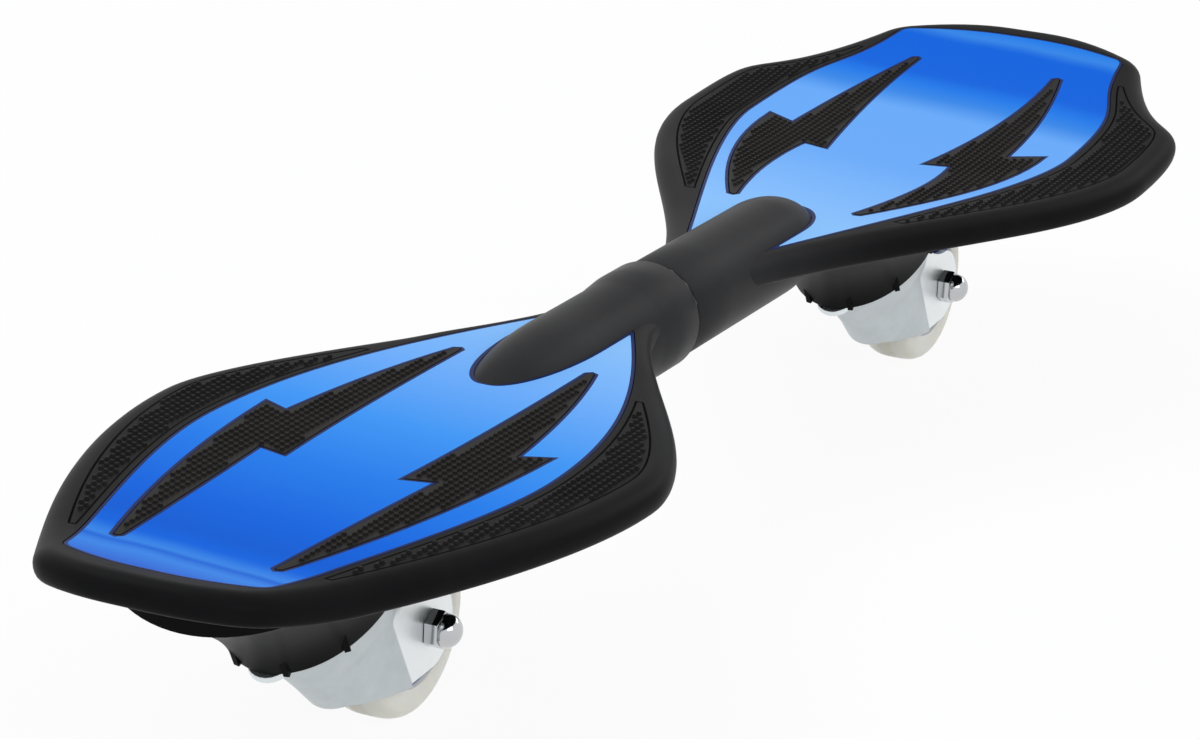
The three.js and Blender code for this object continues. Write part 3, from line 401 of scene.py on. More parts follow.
def patch_line(deck, side):
    """Long grip patch between the rim's groove and the inlay, on one side of the board."""
    outer = moved_in(side_line(deck, deck["outline"], END_CORNER), GROOVE_INSET)
    inner = moved_in(side_line(deck, deck["panel"], PANEL_CORNER), -PATCH_GAP)
    low, high = deck["patch"]
    there, back = [], []
    for i in range(PATCH_STEPS + 1):
        place = low + (high - low) * i / PATCH_STEPS
        far, near = width_at(outer, place), width_at(inner, place)
        if far - near > PATCH_LEAST:
            there.append(Vector((place, far * side)))
            back.append(Vector((place, near * side)))
    return there + back[::-1]


# Making pieces
def new_form():
    form = bmesh.new()
    form.verts.layers.int.new("place")
    return form


def ring(form, points):
    place = form.verts.layers.int["place"]
    corners = [form.verts.new(p) for p in points]
    for i, corner in enumerate(corners):
        corner[place] = i
    return [form.edges.new((corners[i - 1], corners[i])) for i in range(len(corners))]


def carry(form, edges, points):
    """Draws a ring out to the next one."""
    place = form.verts.layers.int["place"]
    made = bmesh.ops.extrude_edge_only(form, edges=edges)["geom"]
    corners = {v for v in made if isinstance(v, bmesh.types.BMVert)}
    for corner in corners:
        corner.co = points[corner[place]]
    return [e for e in made if isinstance(e, bmesh.types.BMEdge) and set(e.verts) <= corners]


def close_ring(form, edges):
    place = form.verts.layers.int["place"]
    form.faces.new(sorted({v for e in edges for v in e.verts}, key=lambda v: v[place]))


def filled(form, edges):
    """Flat faces between closed outlines, all facing up."""
    made = bmesh.ops.triangle_fill(form, edges=edges, use_beauty=True)["geom"]
    return [f for f in made if isinstance(f, bmesh.types.BMFace)]


def drawn_through(form, levels):
    """Skin through rings of one count, and its first and last edges."""
    first = edges = ring(form, levels[0])
    for level in levels[1:]:
        edges = carry(form, edges, level)
    return first, edges


def loft(form, levels):
    """Closed body through rings of one count."""
    for edges in drawn_through(form, levels):
        close_ring(form, edges)
    return form


def lathe(profile, axis, steps, closed=True, form=None):
    """Turned body: each profile point is (radius, place along the axis)."""
    form = form or new_form()
    along = ALONG[axis]
    across = ALONG["X" if axis == "Z" else "Z"]
    corners = [form.verts.new(across * radius + along * place) for radius, place in profile]
    pairs = list(zip(corners, corners[1:])) + ([(corners[-1], corners[0])] if closed else [])
    edges = [form.edges.new(pair) for pair in pairs]
    bmesh.ops.spin(
        form, geom=corners + edges, cent=(0, 0, 0), axis=along, angle=math.tau, steps=steps, use_merge=True)
    bmesh.ops.remove_doubles(form, verts=form.verts, dist=0.0005)
    return form


def quarter(steps, start=1):
    """Cosine and sine of even steps of a quarter turn."""
    turns = [math.pi / 2 * i / steps for i in range(start, steps)]
    return [(math.cos(turn), math.sin(turn)) for turn in turns] + [(0.0, 1.0)]


def rounded(profile, radius, steps):
    """Profile with its inner corners rounded; the ends stay."""
    points = [Vector(p) for p in profile]
    made = [points[0]]
    for before, corner, after in zip(points, points[1:], points[2:]):
        run = min(radius, (before - corner).length * 0.45, (after - corner).length * 0.45)
        near = corner + (before - corner).normalized() * run
        far = corner + (after - corner).normalized() * run
        made += arc_points([near, corner, far], steps)
    return [tuple(p) for p in made + [points[-1]]]


def everything(form):
    return form.verts[:] + form.edges[:] + form.faces[:]


def block(form, low, high, cuts=0):
    """Block between two corners, cut across along X."""
    made = bmesh.ops.create_cube(form, size=1)["verts"]
    size = [b - a for a, b in zip(low, high)]
    bmesh.ops.scale(form, vec=size, verts=made)
    bmesh.ops.translate(form, vec=[(a + b) / 2 for a, b in zip(low, high)], verts=made)
    for i in range(1, cuts):
        at = Vector((low[0] + size[0] * i / cuts, 0, 0))
        faces = {f for v in made if v.is_valid for f in v.link_faces}
        edges, corners = {e for f in faces for e in f.edges}, {v for f in faces for v in f.verts}
        cut = bmesh.ops.bisect_plane(
            form, geom=list(faces) + list(edges) + list(corners), plane_co=at, plane_no=(1, 0, 0))["geom_cut"]
        made = [v for v in made if v.is_valid] + [v for v in cut if isinstance(v, bmesh.types.BMVert)]
    return made


def turned(form, corners, turn):
    bmesh.ops.rotate(form, verts=corners, cent=(0, 0, 0), matrix=Matrix.Rotation(turn, 3, "Z"))


def rod(form, axis, radius, low, high, segments, centre=(0, 0, 0)):
    """Round bar along Y or Z."""
    turn = Matrix.Rotation(-math.pi / 2, 4, "X") if axis == "Y" else Matrix()
    place = Matrix.Translation(Vector(centre) + ALONG[axis] * (low + high) / 2) @ turn
    return bmesh.ops.create_cone(
        form, cap_ends=True, segments=segments, radius1=radius, radius2=radius, depth=high - low,
        matrix=place)["verts"]


def sheet_prism(points, low, high, upright=False):
    """Body between two flat copies of an outline, which lies in XZ if upright and in XY if not."""
    return loft(new_form(), [
        [Vector((x, at, y) if upright else (x, y, at)) for x, y in points] for at in (low, high)])


def linked(form, name):
    """New object with a form's mesh; the form ends."""
    mesh = bpy.data.meshes.new(name)
    form.to_mesh(mesh)
    form.free()
    made = bpy.data.objects.new(name, mesh)
    bpy.context.scene.collection.objects.link(made)
    return made


def rough_object(form):
    """Unfinished object in millimetres, used while a piece is cut."""
    bmesh.ops.recalc_face_normals(form, faces=form.faces)
    return linked(form, "rough")


def cut_by(body, tools):
    """Applies each (tool, operation) to the body and returns the result as a new form."""
    for tool, operation in tools:
        cut = body.modifiers.new("cut", "BOOLEAN")
        cut.object, cut.operation, cut.solver = tool, operation, "EXACT"
    bpy.context.view_layer.update()
    graph = bpy.context.evaluated_depsgraph_get()
    mesh = bpy.data.meshes.new_from_object(body.evaluated_get(graph))
    form = bmesh.new()
    form.from_mesh(mesh)
    for spent in [body] + [tool for tool, _ in tools]:
        bpy.data.objects.remove(spent)
    return form


def finish_piece(form, name, body, node, slot, finishes, place, angle, bevel=0):
    """Merges, places, scales and dresses a form, hangs it on its body and lets it stand for a node."""
    bmesh.ops.remove_doubles(form, verts=form.verts, dist=0.002)
    bmesh.ops.recalc_face_normals(form, faces=form.faces)
    bmesh.ops.transform(form, matrix=place, verts=form.verts)
    bmesh.ops.scale(form, vec=(0.001, 0.001, 0.001), verts=form.verts)
    for face in form.faces:
        face.smooth = True
    made = linked(form, name)
    made.data.set_sharp_from_angle(angle=math.radians(angle))
    for finish in finishes:
        made.data.materials.append(finish)
    if bevel:
        soft = made.modifiers.new("soft edges", "BEVEL")
        soft.width, soft.segments, soft.limit_method = bevel * 0.001, 2, "ANGLE"
        soft.angle_limit, soft.harden_normals = math.radians(38), True
    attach(made, body)
    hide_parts(node)


def swivel_centre(wheel):
    ahead = FORK_TRAIL * math.cos(LEAN) + FORK_DROP * math.sin(LEAN)
    above = FORK_DROP * math.cos(LEAN) - FORK_TRAIL * math.sin(LEAN)
    return Vector((wheel + ahead, 0, WHEEL_RADIUS + above))


def swivel_place(wheel):
    return Matrix.Translation(swivel_centre(wheel)) @ Matrix.Rotation(LEAN, 4, "Y")


# Decks
def slice_for_kick(deck, form):
    """Cuts a flat form across where the deck's end lifts, then lifts it."""
    place = deck["kick_start"] + KICK_CUT_START
    while place < REACH:
        bmesh.ops.bisect_plane(
            form, geom=everything(form), plane_co=(place, 0, 0), plane_no=(1, 0, 0), dist=0.01)
        place += KICK_CUT_STEP
    for corner in form.verts:
        corner.co.z += kick_lift(deck, corner.co.x)


def sunk_line(form, edges, line):
    """Narrow groove just inside a closed outline, and the face left inside it."""
    edges = carry(form, edges, level_ring(grown(line, -GROOVE_HALF), DECK_TOP - GROOVE_DEPTH))
    edges = carry(form, edges, level_ring(grown(line, -2 * GROOVE_HALF), DECK_TOP))
    filled(form, edges)


def deck_shell(deck):
    """Rim, wall and skin round the outline, with the inlay's recess and the grooves of the grip patches."""
    form = new_form()
    line = side_line(deck, deck["outline"], END_CORNER)
    line = [line[0] - (line[1] - line[0]).normalized() * NECK_OVERLAP] + line
    levels = [(RIM_ROUND * (1 - rise), RIM_ROUND_DEPTH * (1 - run)) for run, rise in quarter(8, 0)]
    levels += [
        (LIP_INSET * (1 - run), RIM_ROUND_DEPTH + (RIM_DEPTH - RIM_ROUND_DEPTH) * rise)
        for run, rise in quarter(5)]
    lip = LIP_INSET + LIP_WIDTH
    levels += [(lip - LIP_CHAMFER, RIM_DEPTH), (lip, RIM_DEPTH - LIP_CHAMFER)]
    levels += [(WALL + LIP_INSET / 2, RIM_ROUND_DEPTH), (RIM_ROUND + WALL / 2, SKIN)]
    rings = [
        both_sides(moved_in(line, inset, deck["slim"] if depth < RIM_ROUND_DEPTH else 1.0), DECK_TOP - depth)
        for inset, depth in levels]
    top, under = drawn_through(form, rings)
    filled(form, under)
    seat = []
    for p in moved_in(side_line(deck, deck["panel"], PANEL_CORNER, 12), -SEAT_GAP):
        ridge = ridge_half(deck, p.x)
        seat.append(Vector((p.x, p.y if p.y > ridge + 0.8 else min(p.y, ridge - 2))))
    recess = ring(form, both_sides(seat, DECK_TOP))
    lines = [patch_line(deck, side) for side in (1, -1)]
    patches = [ring(form, level_ring(line, DECK_TOP)) for line in lines]
    filled(form, top + recess + patches[0] + patches[1])
    for patch, line in zip(patches, lines):
        sunk_line(form, patch, line)
    filled(form, carry(form, recess, both_sides(seat, DECK_TOP - PANEL_THICKNESS - SEAT_GAP)))
    slice_for_kick(deck, form)
    return form


def grip_bolts(deck):
    """Raised zigzag pads that stand up through the inlay."""
    form = new_form()
    for side in (1, -1):
        line = bolt_line(deck, side)
        low = ring(form, level_ring(line, DECK_TOP - PANEL_THICKNESS - 1))
        high = carry(form, low, level_ring(line, DECK_TOP - 0.1))
        filled(form, low)
        filled(form, carry(form, high, level_ring(grown(line, -0.2), DECK_TOP + BOLT_RISE)))
    slice_for_kick(deck, form)
    return form


def clear_of(point, line, margin):
    """Whether a point lies inside an outline and at least a margin from it."""
    inside = False
    for a, b in zip(line, line[1:] + line[:1]):
        if (a.y > point.y) != (b.y > point.y) and point.x < a.x + (b.x - a.x) * (point.y - a.y) / (b.y - a.y):
            inside = not inside
        run = b - a
        share = max(0.0, min(1.0, (point - a).dot(run) / max(run.length_squared, 1e-9)))
        if (point - a - run * share).length < margin:
            return False
    return inside


def grip_studs(deck):
    """Small cones in staggered rows over the grip patches and the zigzag pads."""
    form = bmesh.new()
    fields = [(DECK_TOP, PATCH_MARGIN, patch_line(deck, side)) for side in (1, -1)]
    fields += [(DECK_TOP + BOLT_RISE, BOLT_MARGIN, bolt_line(deck, side)) for side in (1, -1)]
    pitch = STUD_PITCH * ROW_SHARE
    for height, margin, line in fields:
        left, low, right = min(p.x for p in line), min(p.y for p in line), max(p.x for p in line)
        rows = int((max(p.y for p in line) - low) / pitch) + 1
        for row in range(rows):
            across = low + row * pitch
            place = left + (row % 2) * STUD_PITCH / 2
            while place < right:
                if clear_of(Vector((place, across)), line, margin):
                    lift = height + kick_lift(deck, place) + STUD_HEIGHT / 2 - STUD_SINK / 2
                    bmesh.ops.create_cone(
                        form, cap_ends=True, segments=6, radius1=STUD_RADIUS, radius2=STUD_RADIUS * 0.5,
                        depth=STUD_HEIGHT + STUD_SINK, matrix=Matrix.Translation((place, across, lift)))
                place += STUD_PITCH
    return form


def ridge_half(deck, place):
    """Half width of the neck's ridge where it breaks the deck's top."""
    share = max(0.0, place - NOSE_START) / deck["nose"]
    radius = (NECK_RADIUS + SEAT_GAP) * math.sqrt(max(0.0, 1 - share * share))
    drop = DECK_TOP - NECK_HEIGHT
    return math.sqrt(max(0.0, radius * radius - drop * drop))


def panel_line(deck, inset, steps=120, ridge_steps=40):
    """Inlay outline: the sides and end, then back round the neck's ridge."""
    side = moved_in(side_line(deck, deck["panel"], PANEL_CORNER, 24), inset)
    room = [p.y - ridge_half(deck, p.x) - inset for p in side]
    first = next(i for i in range(1, len(side)) if room[i] > 0.5)
    first -= (room[first] - 0.5) / (room[first] - room[first - 1])
    made = []
    for i in range(steps + 1):
        place = first + (len(side) - 1 - first) * i / steps
        whole = min(int(place), len(side) - 2)
        made.append(side[whole].lerp(side[whole + 1], place - whole))
    tip = made[0].x
    drop = DECK_TOP - NECK_HEIGHT
    nose = NOSE_START + deck["nose"] * math.sqrt(1 - (drop / (NECK_RADIUS + SEAT_GAP)) ** 2) + inset
    ridge = []
    for i, (_, share) in enumerate(quarter(ridge_steps, 0)):
        place = tip + (nose - tip) * share
        ridge.append(Vector((place, ridge_half(deck, place - inset) + inset if i < ridge_steps else 0)))
    return flipped(made) + made[::-1] + ridge + flipped(ridge[-2::-1])


def inlay(deck):
    """Thin panel round the pads, with a navy border; one half is made and mirrored."""
    form = new_form()
    outlines = [[panel_line(deck, inset) for inset in (0, PANEL_CHAMFER, PANEL_BORDER)]]
    for side in (1, -1):
        line = grown(bolt_line(deck, side), SEAT_GAP)
        outlines.append([line, grown(line, PANEL_CHAMFER), grown(line, PANEL_BORDER)])
    under, inner = [], []
    for line, chamfer, border in outlines:
        levels = (line, PANEL_THICKNESS), (line, PANEL_CHAMFER), (chamfer, 0), (border, 0)
        low, high = drawn_through(form, [level_ring(points, DECK_TOP - depth) for points, depth in levels])
        under += low
        inner += high
    filled(form, under)
    blue = set(filled(form, inner))
    for face in form.faces:
        face.material_index = 0 if face in blue else 1
    bmesh.ops.bisect_plane(
        form, geom=everything(form), plane_co=(0, 0, 0), plane_no=(0, -1, 0), clear_outer=True)
    bmesh.ops.mirror(form, geom=everything(form), axis="Y", merge_dist=0.01)
    slice_for_kick(deck, form)
    return form


def neck(deck):
    """Turned ridge with its bore, its collar at the parting and a long rounded nose on the deck."""
    start = deck["parting"] + PARTING_GAP
    collar = NECK_RADIUS + deck["collar"]
    bore, depth = deck["bore"]
    profile = [(0, deck["parting"] + depth), (bore, deck["parting"] + depth), (bore, start)]
    profile += [(collar - NECK_CHAMFER, start), (collar - 0.35, start + 0.35), (collar, start + NECK_CHAMFER)]
    if deck["collar"]:
        profile += [(collar, start + COLLAR_LENGTH * 0.55), (NECK_RADIUS + 0.5, start + COLLAR_LENGTH * 0.86)]
    profile += [(NECK_RADIUS, start + COLLAR_LENGTH), (NECK_RADIUS, NOSE_START)]
    profile += [(NECK_RADIUS * run, NOSE_START + deck["nose"] * rise) for run, rise in quarter(16)]
    form = lathe(profile, "X", 96, closed=False)
    bmesh.ops.translate(form, vec=(0, 0, NECK_HEIGHT), verts=form.verts)
    return form


def oval(long, wide, height):
    """Ring round the middle of the skirt."""
    return level_ring(swept((SKIRT_SHIFT, 0), long, wide, 0, math.tau, 96)[:-1], height)


def boss_skirt(form, tall, steps=12):
    """Oval wall that flares from round the swivel's plate and then stands straight up into the deck."""
    upright = Vector((-math.sin(LEAN), 0, math.cos(LEAN))) * tall
    levels = []
    for skin in (0, BOSS_WALL):
        long, wide = SKIRT_LONG - skin - SKIRT_LIP, SKIRT_WIDE - skin - SKIRT_LIP
        side = [oval(long, wide, 0), oval(long * 1.022, wide * 1.026, SKIRT_LIP)]
        for i in range(1, steps + 1):
            share = i / steps
            flare = SKIRT_FLARE * share ** 1.6 - skin
            side.append(oval(SKIRT_LONG + flare, SKIRT_WIDE + flare, tall * share))
        side.append([p + upright for p in side[-1]])
        levels.append(side)
    outer, inner = levels
    drawn_through(form, outer + inner[::-1] + outer[:1])
    bmesh.ops.remove_doubles(form, verts=form.verts, dist=0.002)


def deck_ribs(deck, boss_place):
    """Ribs both ways below the skin, in step with the boss."""
    form = new_form()
    line = moved_in(side_line(deck, deck["outline"], END_CORNER), WALL)
    half = RIB_THICKNESS / 2
    low, top = DECK_TOP - RIB_DEPTH, DECK_TOP - SKIN + RIB_SINK
    place = NOSE_START + (boss_place - NOSE_START) % RIB_PITCH
    while place < REACH - END_CORNER:
        width = width_at(line, place) - 2
        block(form, (place - half, -width, low), (place + half, width, top))
        place += RIB_PITCH
    count = int((deck["half"] - RIB_PITCH / 2) / RIB_PITCH)
    for i in range(-count, count + 1):
        middle = i * RIB_PITCH
        far = max((p.x for p in line if p.y > abs(middle) + 2), default=REACH) - 3
        near = min((p.x for p in line if p.y > abs(middle) + 4), default=NOSE_START) + 4
        block(form, (max(NOSE_START, near), middle - half, low), (far, middle + half, top), 26)
    for corner in form.verts:
        corner.co.z += kick_lift(deck, corner.co.x)
    return form


def caster_boss(deck, rise):
    """Webbed boss square to the leaning swivel, with its fins and skirt, cut off inside the skin."""
    form = new_form()
    half, wall, tall = RIB_THICKNESS / 2, BOSS_RADIUS - BOSS_WALL, rise + BOSS_SPARE
    profile = [(wall, BOSS_CHAMFER), (wall + BOSS_CHAMFER, 0), (BOSS_RADIUS - BOSS_CHAMFER, 0)]
    profile += [(BOSS_RADIUS, BOSS_CHAMFER), (BOSS_RADIUS, tall), (wall, tall)]
    lathe(profile, "Z", 72, form=form)
    lathe([(PIN_HOLE, 0), (BOSS_HUB, 0), (BOSS_HUB, tall), (PIN_HOLE, tall)], "Z", 48, form=form)
    for i in range(BOSS_WEBS):
        web = block(form, (BOSS_HUB - 1, -half, 0.5), (wall + 1, half, tall))
        turned(form, web, math.tau * i / BOSS_WEBS)
    for i in range(BOSS_FINS):
        turn = math.tau * (i + 0.5) / BOSS_FINS
        edge = Vector((SKIRT_SHIFT + SKIRT_LONG * math.cos(turn), SKIRT_WIDE * math.sin(turn)))
        fin = block(form, (edge.length - BOSS_WALL, -half, 0.8), (edge.length + FIN_REACH, half, tall))
        turned(form, fin, math.atan2(edge.y, edge.x))
    block(form, (BOSS_RADIUS - 1, -TONGUE_HALF, 0), (TONGUE_REACH, TONGUE_HALF, tall))
    boss_skirt(form, tall)
    bmesh.ops.transform(form, matrix=swivel_place(deck["wheel"]), verts=form.verts)
    turned(form, form.verts, -deck["turn"])
    bmesh.ops.bisect_plane(
        form, geom=everything(form), plane_co=(0, 0, BOSS_TOP), plane_no=(0, 0, 1), clear_outer=True)
    bmesh.ops.holes_fill(form, edges=form.edges, sides=0)
    for corner in form.verts:
        if corner.co.z > BOSS_TOP - 0.01:
            corner.co.z += kick_lift(deck, corner.co.x)
    return form


def underside(deck):
    """Ribs below the skin and the boss that carries the caster."""
    centre = swivel_centre(deck["wheel"])
    heading = 1 if deck["turn"] == 0 else -1
    room = DECK_TOP - SKIN - centre.z
    form = deck_ribs(deck, heading * (centre.x + room * math.tan(LEAN)))
    boss = caster_boss(deck, room / math.cos(LEAN))
    joined = bpy.data.meshes.new("joined")
    boss.to_mesh(joined)
    boss.free()
    form.from_mesh(joined)
    bpy.data.meshes.remove(joined)
    return form


def dress_deck(deck):
    name, turn = deck["name"], Matrix.Rotation(deck["turn"], 4, "Z")
    for make, piece, finish, angle in (
            (deck_shell, "deck_shell", deck_black, 28), (grip_bolts, "grip_pads", grip_black, 28),
            (grip_studs, "grip_studs", grip_black, 20), (neck, "neck", neck_black, 30),
            (underside, "underside_ribs", deck_black, 28)):
        finish_piece(
            make(deck), f"{name}_{piece}", name, name + "_deck", "deck_plastic", [finish], turn, angle)
    finishes = [inlay_blue, inlay_navy]
    finish_piece(inlay(deck), name + "_inlay", name, name + "_panel", "panel_plastic", finishes, turn, 28)


# Casters
SHEET, LEG_GAP, CROWN_HALF, CROWN_REAR, CROWN_BEND = 2.8, 29.0, 26.0, 29.0, 3.0
SHOULDER_DEPTH, NOSE_TOP, NOSE_BOTTOM, LUG_RADIUS, CORNER_DEPTH = 26.0, 47.0, 24.0, 17.0, 21.0
EDGE = 0.5
LEG_HALF = LEG_GAP / 2 + SHEET
CREASE_STEP, CREASE_RUN = 1.7, 2.0
BALL_RADIUS, BALL_SINK, BALL_PITCH, BALLS = 2.8, 0.45, 20.0, 8
PLATE_TOP = -SEAT_GAP
PLATE_BOTTOM = PLATE_TOP - 3.0
BALL_CENTRE = PLATE_BOTTOM + BALL_SINK - BALL_RADIUS
CROWN_TOP = BALL_CENTRE - BALL_RADIUS + BALL_SINK
CROWN_BOTTOM = CROWN_TOP - SHEET
WASHER_THICKNESS = 1.8
HEAD_TOP = CROWN_BOTTOM - SEAT_GAP - WASHER_THICKNESS - SEAT_GAP
HEAD_HEIGHT, HEAD_RADIUS, PIN_RADIUS, PIN_END = 6.0, 8.5, 5.0, 19.9
AXLE_SEAT = LEG_HALF + SEAT_GAP
AXLE_HOLE, AXLE_RADIUS, AXLE_HEAD, AXLE_HEAD_HEIGHT = 4.1, 3.8, 7.2, 5.3
NUT_RADIUS, NUT_HEIGHT = 7.9, 5.6


def fork_section(depth, skin, rear):
    """Level outline of the fork's coned form at a depth below its crown; skin moves it inward."""
    drawn = eased(depth / SHOULDER_DEPTH)
    slope = min(1.0, depth / FORK_DROP)
    bend = max(0.0, 1 - depth / CROWN_BEND)
    inward = CROWN_BEND * (1 - math.sqrt(1 - bend * bend)) + skin
    width = LEG_HALF + (CROWN_HALF - LEG_HALF) * (1 - drawn) - inward
    nose = NOSE_TOP + (NOSE_BOTTOM - NOSE_TOP) * slope - inward
    full = width + CREASE_STEP * max(0.0, min(1.0, (depth - 4) / 10))
    side = [Vector((rear, -width)), Vector((-CREASE_RUN, -width))]
    front = swept((0, 0), nose, full, -math.pi / 2, math.pi / 2, 30)
    return level_ring(side + front + flipped(side[::-1]), CROWN_TOP - skin - depth)


def fork_form(skin, rear):
    depths = [0, 0.15, 0.45, 0.9, 1.6, 3] + [SHOULDER_DEPTH * i / 14 for i in range(2, 15)]
    depths += [34, 42, 50, FORK_DROP, FORK_DROP + LUG_RADIUS * 2]
    return loft(new_form(), [fork_section(depth, skin, rear) for depth in depths])


def fork_side_view():
    """Outline of the fork from the side, from shares of the fork's drop."""
    shares = {
        "nose_top": (1, 0.1), "nose_bottom": (1, -0.78), "nose_under": (0.46, -0.82), "sweep": (0.2, -0.98),
        "crease_foot": (0, -1.12), "waist_pull": (-0.36, -0.66), "waist": (-0.23, -0.4),
        "crown_pull": (-0.2, -0.27), "crown_rear": (-0.52, -0.2), "crown_top": (-0.52, 0.1)}
    at = {key: Vector((x * FORK_DROP, z * FORK_DROP)) for key, (x, z) in shares.items()}
    line = [at["nose_top"], at["nose_bottom"]]
    line += arc_points([at["nose_under"], at["sweep"], at["crease_foot"]], 14)
    start, end = math.radians(-68), math.radians(-235)
    line += swept((-FORK_TRAIL, -FORK_DROP), LUG_RADIUS, LUG_RADIUS, start, end, 32)
    line += arc_points([line[-1], at["waist_pull"], at["waist"]], 12)[1:]
    line += arc_points([at["waist"], at["crown_pull"], at["crown_rear"]], 10)[1:]
    return line + [at["crown_top"]]


def fork():
    """The coned form, hollowed, cut to its side view and crown, and drilled."""
    rear = -FORK_TRAIL - LUG_RADIUS * 2
    side = sheet_prism(fork_side_view(), -CROWN_HALF - 5, CROWN_HALF + 5, True)
    corner, round_end = new_form(), new_form()
    block(corner, (rear, -CROWN_HALF * 2, -CORNER_DEPTH), (0, CROWN_HALF * 2, 5))
    rod(round_end, "Z", CROWN_REAR, -CORNER_DEPTH - 5, 10, 96)
    corners = cut_by(rough_object(corner), [(rough_object(round_end), "DIFFERENCE")])
    shell, hollow, side, corners = (
        rough_object(form) for form in (fork_form(0, rear), fork_form(SHEET, rear - 5), side, corners))
    tools = [(hollow, "DIFFERENCE"), (side, "INTERSECT"), (corners, "DIFFERENCE")]
    for axis, radius, low, high, centre in (
            ("Y", AXLE_HOLE, -40, 40, (-FORK_TRAIL, 0, -FORK_DROP)),
            ("Z", PIN_HOLE, CROWN_BOTTOM - 5, 5, (0, 0, 0))):
        hole = new_form()
        rod(hole, axis, radius, low, high, 32, centre)
        tools.append((rough_object(hole), "DIFFERENCE"))
    return cut_by(shell, tools)


def zinc_painted_shade(name, wheel):
    """Zinc plate with painted shade: darker colour over the drawn nose, which is also rougher and less
    metallic than the flat legs, and a painted dark line along the crease between.
    """
    finish = Finish(name + "_zinc_painted_shade")
    centre = swivel_centre(wheel) * 0.001
    ahead = (finish.axis(0) - centre.x) * math.cos(LEAN) + (finish.axis(2) - centre.z) * -math.sin(LEAN)
    spangle = finish.speckle(70.0, 4.0, 0.7)
    # The nose's darker shades are painted shade, and the crease's dark colour is a painted shade line.
    drawn = ((ahead + 0.0022) * 900).clamped()
    crease = (1 - (ahead + 0.0014).maths("ABSOLUTE") * 700).maths("MAXIMUM", 0)
    legs = finish.blend(spangle, linear(222, 227, 229), linear(240, 243, 244))
    nose = finish.blend(spangle, linear(176, 184, 187), linear(210, 216, 218))
    colour = finish.blend(crease * 0.75, finish.blend(drawn, legs, nose), linear(104, 110, 114))
    return finish.surface({
        "Base Color": colour, "Metallic": 1.0 - drawn * 0.25, "Normal": finish.grain(900.0, 0.05, 0.00008),
        "Roughness": 0.34 + drawn * 0.06 + spangle * 0.12})


def race_plate():
    """Round plate with a tongue ahead for the screw."""
    start = math.asin(TONGUE_HALF / PLATE_RADIUS)
    line = swept((0, 0), PLATE_RADIUS, PLATE_RADIUS, start, math.tau - start, 60)
    line += swept((TONGUE_REACH, 0), TONGUE_HALF, TONGUE_HALF, -math.pi / 2, math.pi / 2, 12)
    return sheet_prism(line, PLATE_BOTTOM, PLATE_TOP)


def ball_ring():
    inner, outer, half = BALL_PITCH - 4, BALL_PITCH + 4, 0.8
    profile = [(inner, -half), (outer, -half), (outer, half), (inner, half)]
    form = lathe([(radius, BALL_CENTRE + place) for radius, place in profile], "Z", 64)
    for i in range(BALLS):
        turn = math.tau * i / BALLS
        at = Matrix.Translation((BALL_PITCH * math.cos(turn), BALL_PITCH * math.sin(turn), BALL_CENTRE))
        bmesh.ops.create_icosphere(form, subdivisions=3, radius=BALL_RADIUS, matrix=at)
    return form


def hex_head(form, axis, radius, low, high, crown):
    """Hexagon with its far corners turned off, along Y or Z; crown is the end that is chamfered."""
    made = rod(form, axis, radius, low, high, 6)
    index = 1 if axis == "Y" else 2
    edges = {e for v in made for e in v.link_edges if all(abs(w.co[index] - crown) < 0.01 for w in e.verts)}
    bmesh.ops.bevel(
        form, geom=list(edges), offset=radius * 0.09, offset_type="OFFSET", segments=2, profile=0.5,
        affect="EDGES", material=-1)


def kingpin_bolt():
    form = new_form()
    hex_head(form, "Z", HEAD_RADIUS, HEAD_TOP - HEAD_HEIGHT, HEAD_TOP, HEAD_TOP - HEAD_HEIGHT)
    rod(form, "Z", PIN_RADIUS, HEAD_TOP - HEAD_HEIGHT / 2, PIN_END, 32)
    return form


def plate_screw():
    top = PLATE_BOTTOM - SEAT_GAP
    profile = [(0, 0), (4.2, 0), (4.2, -1.2), (3.4, -2), (2.2, -2.2), (2.2, -1.1), (0, -1.1)]
    form = lathe([(radius, top + place) for radius, place in profile], "Z", 32, closed=False)
    rod(form, "Z", 2.5, top - 0.8, 15.7, 24)
    bmesh.ops.translate(form, vec=(44 - SEAT_GAP, 0, 0), verts=form.verts)
    return form


def tyre():
    half, flat, side, inner = 12.0, 3.5, 33.0, 25.3
    profile = [(inner, -half + 0.4), (inner + 0.4, -half), (side - 2, -half)]
    shoulder = [
        (side + (WHEEL_RADIUS - side) * rise, flat + (half - flat) * run) for run, rise in quarter(12, 0)]
    profile += [(r, -a) for r, a in shoulder] + [(r, a) for r, a in reversed(shoulder)]
    profile += [(side - 2, half), (inner + 0.4, half), (inner, half - 0.4)]
    return lathe(profile, "Y", 112)


def hub():
    half, web, step, bore, seat, wall, rim, outer = 10.5, 2.5, 3.2, 6.6, 11.3, 15, 22.0, 25
    right = [
        (bore, -step), (seat, -step), (seat, -half), (wall, -half), (wall, -web), (rim, -web), (rim, -half),
        (outer, -half)]
    left = [(r, -a) for r, a in reversed(right)]
    return lathe(rounded(right + left, 0.9, 3), "Y", 96)


def bearing(side):
    """Rings and shields in one; side is 1 on the left and -1 on the right."""
    low, high, bore, outer, wall, chamfer, shield = 3.5, 10.5, 4, 11, 1.4, 0.3, 0.7
    profile = [
        (bore, low), (outer, low), (outer, high - chamfer), (outer - chamfer, high), (outer - wall, high),
        (outer - wall, high - shield), (bore + wall, high - shield), (bore + wall, high),
        (bore + chamfer, high), (bore, high - chamfer)]
    return lathe([(r, a * side) for r, a in profile], "Y", 48)


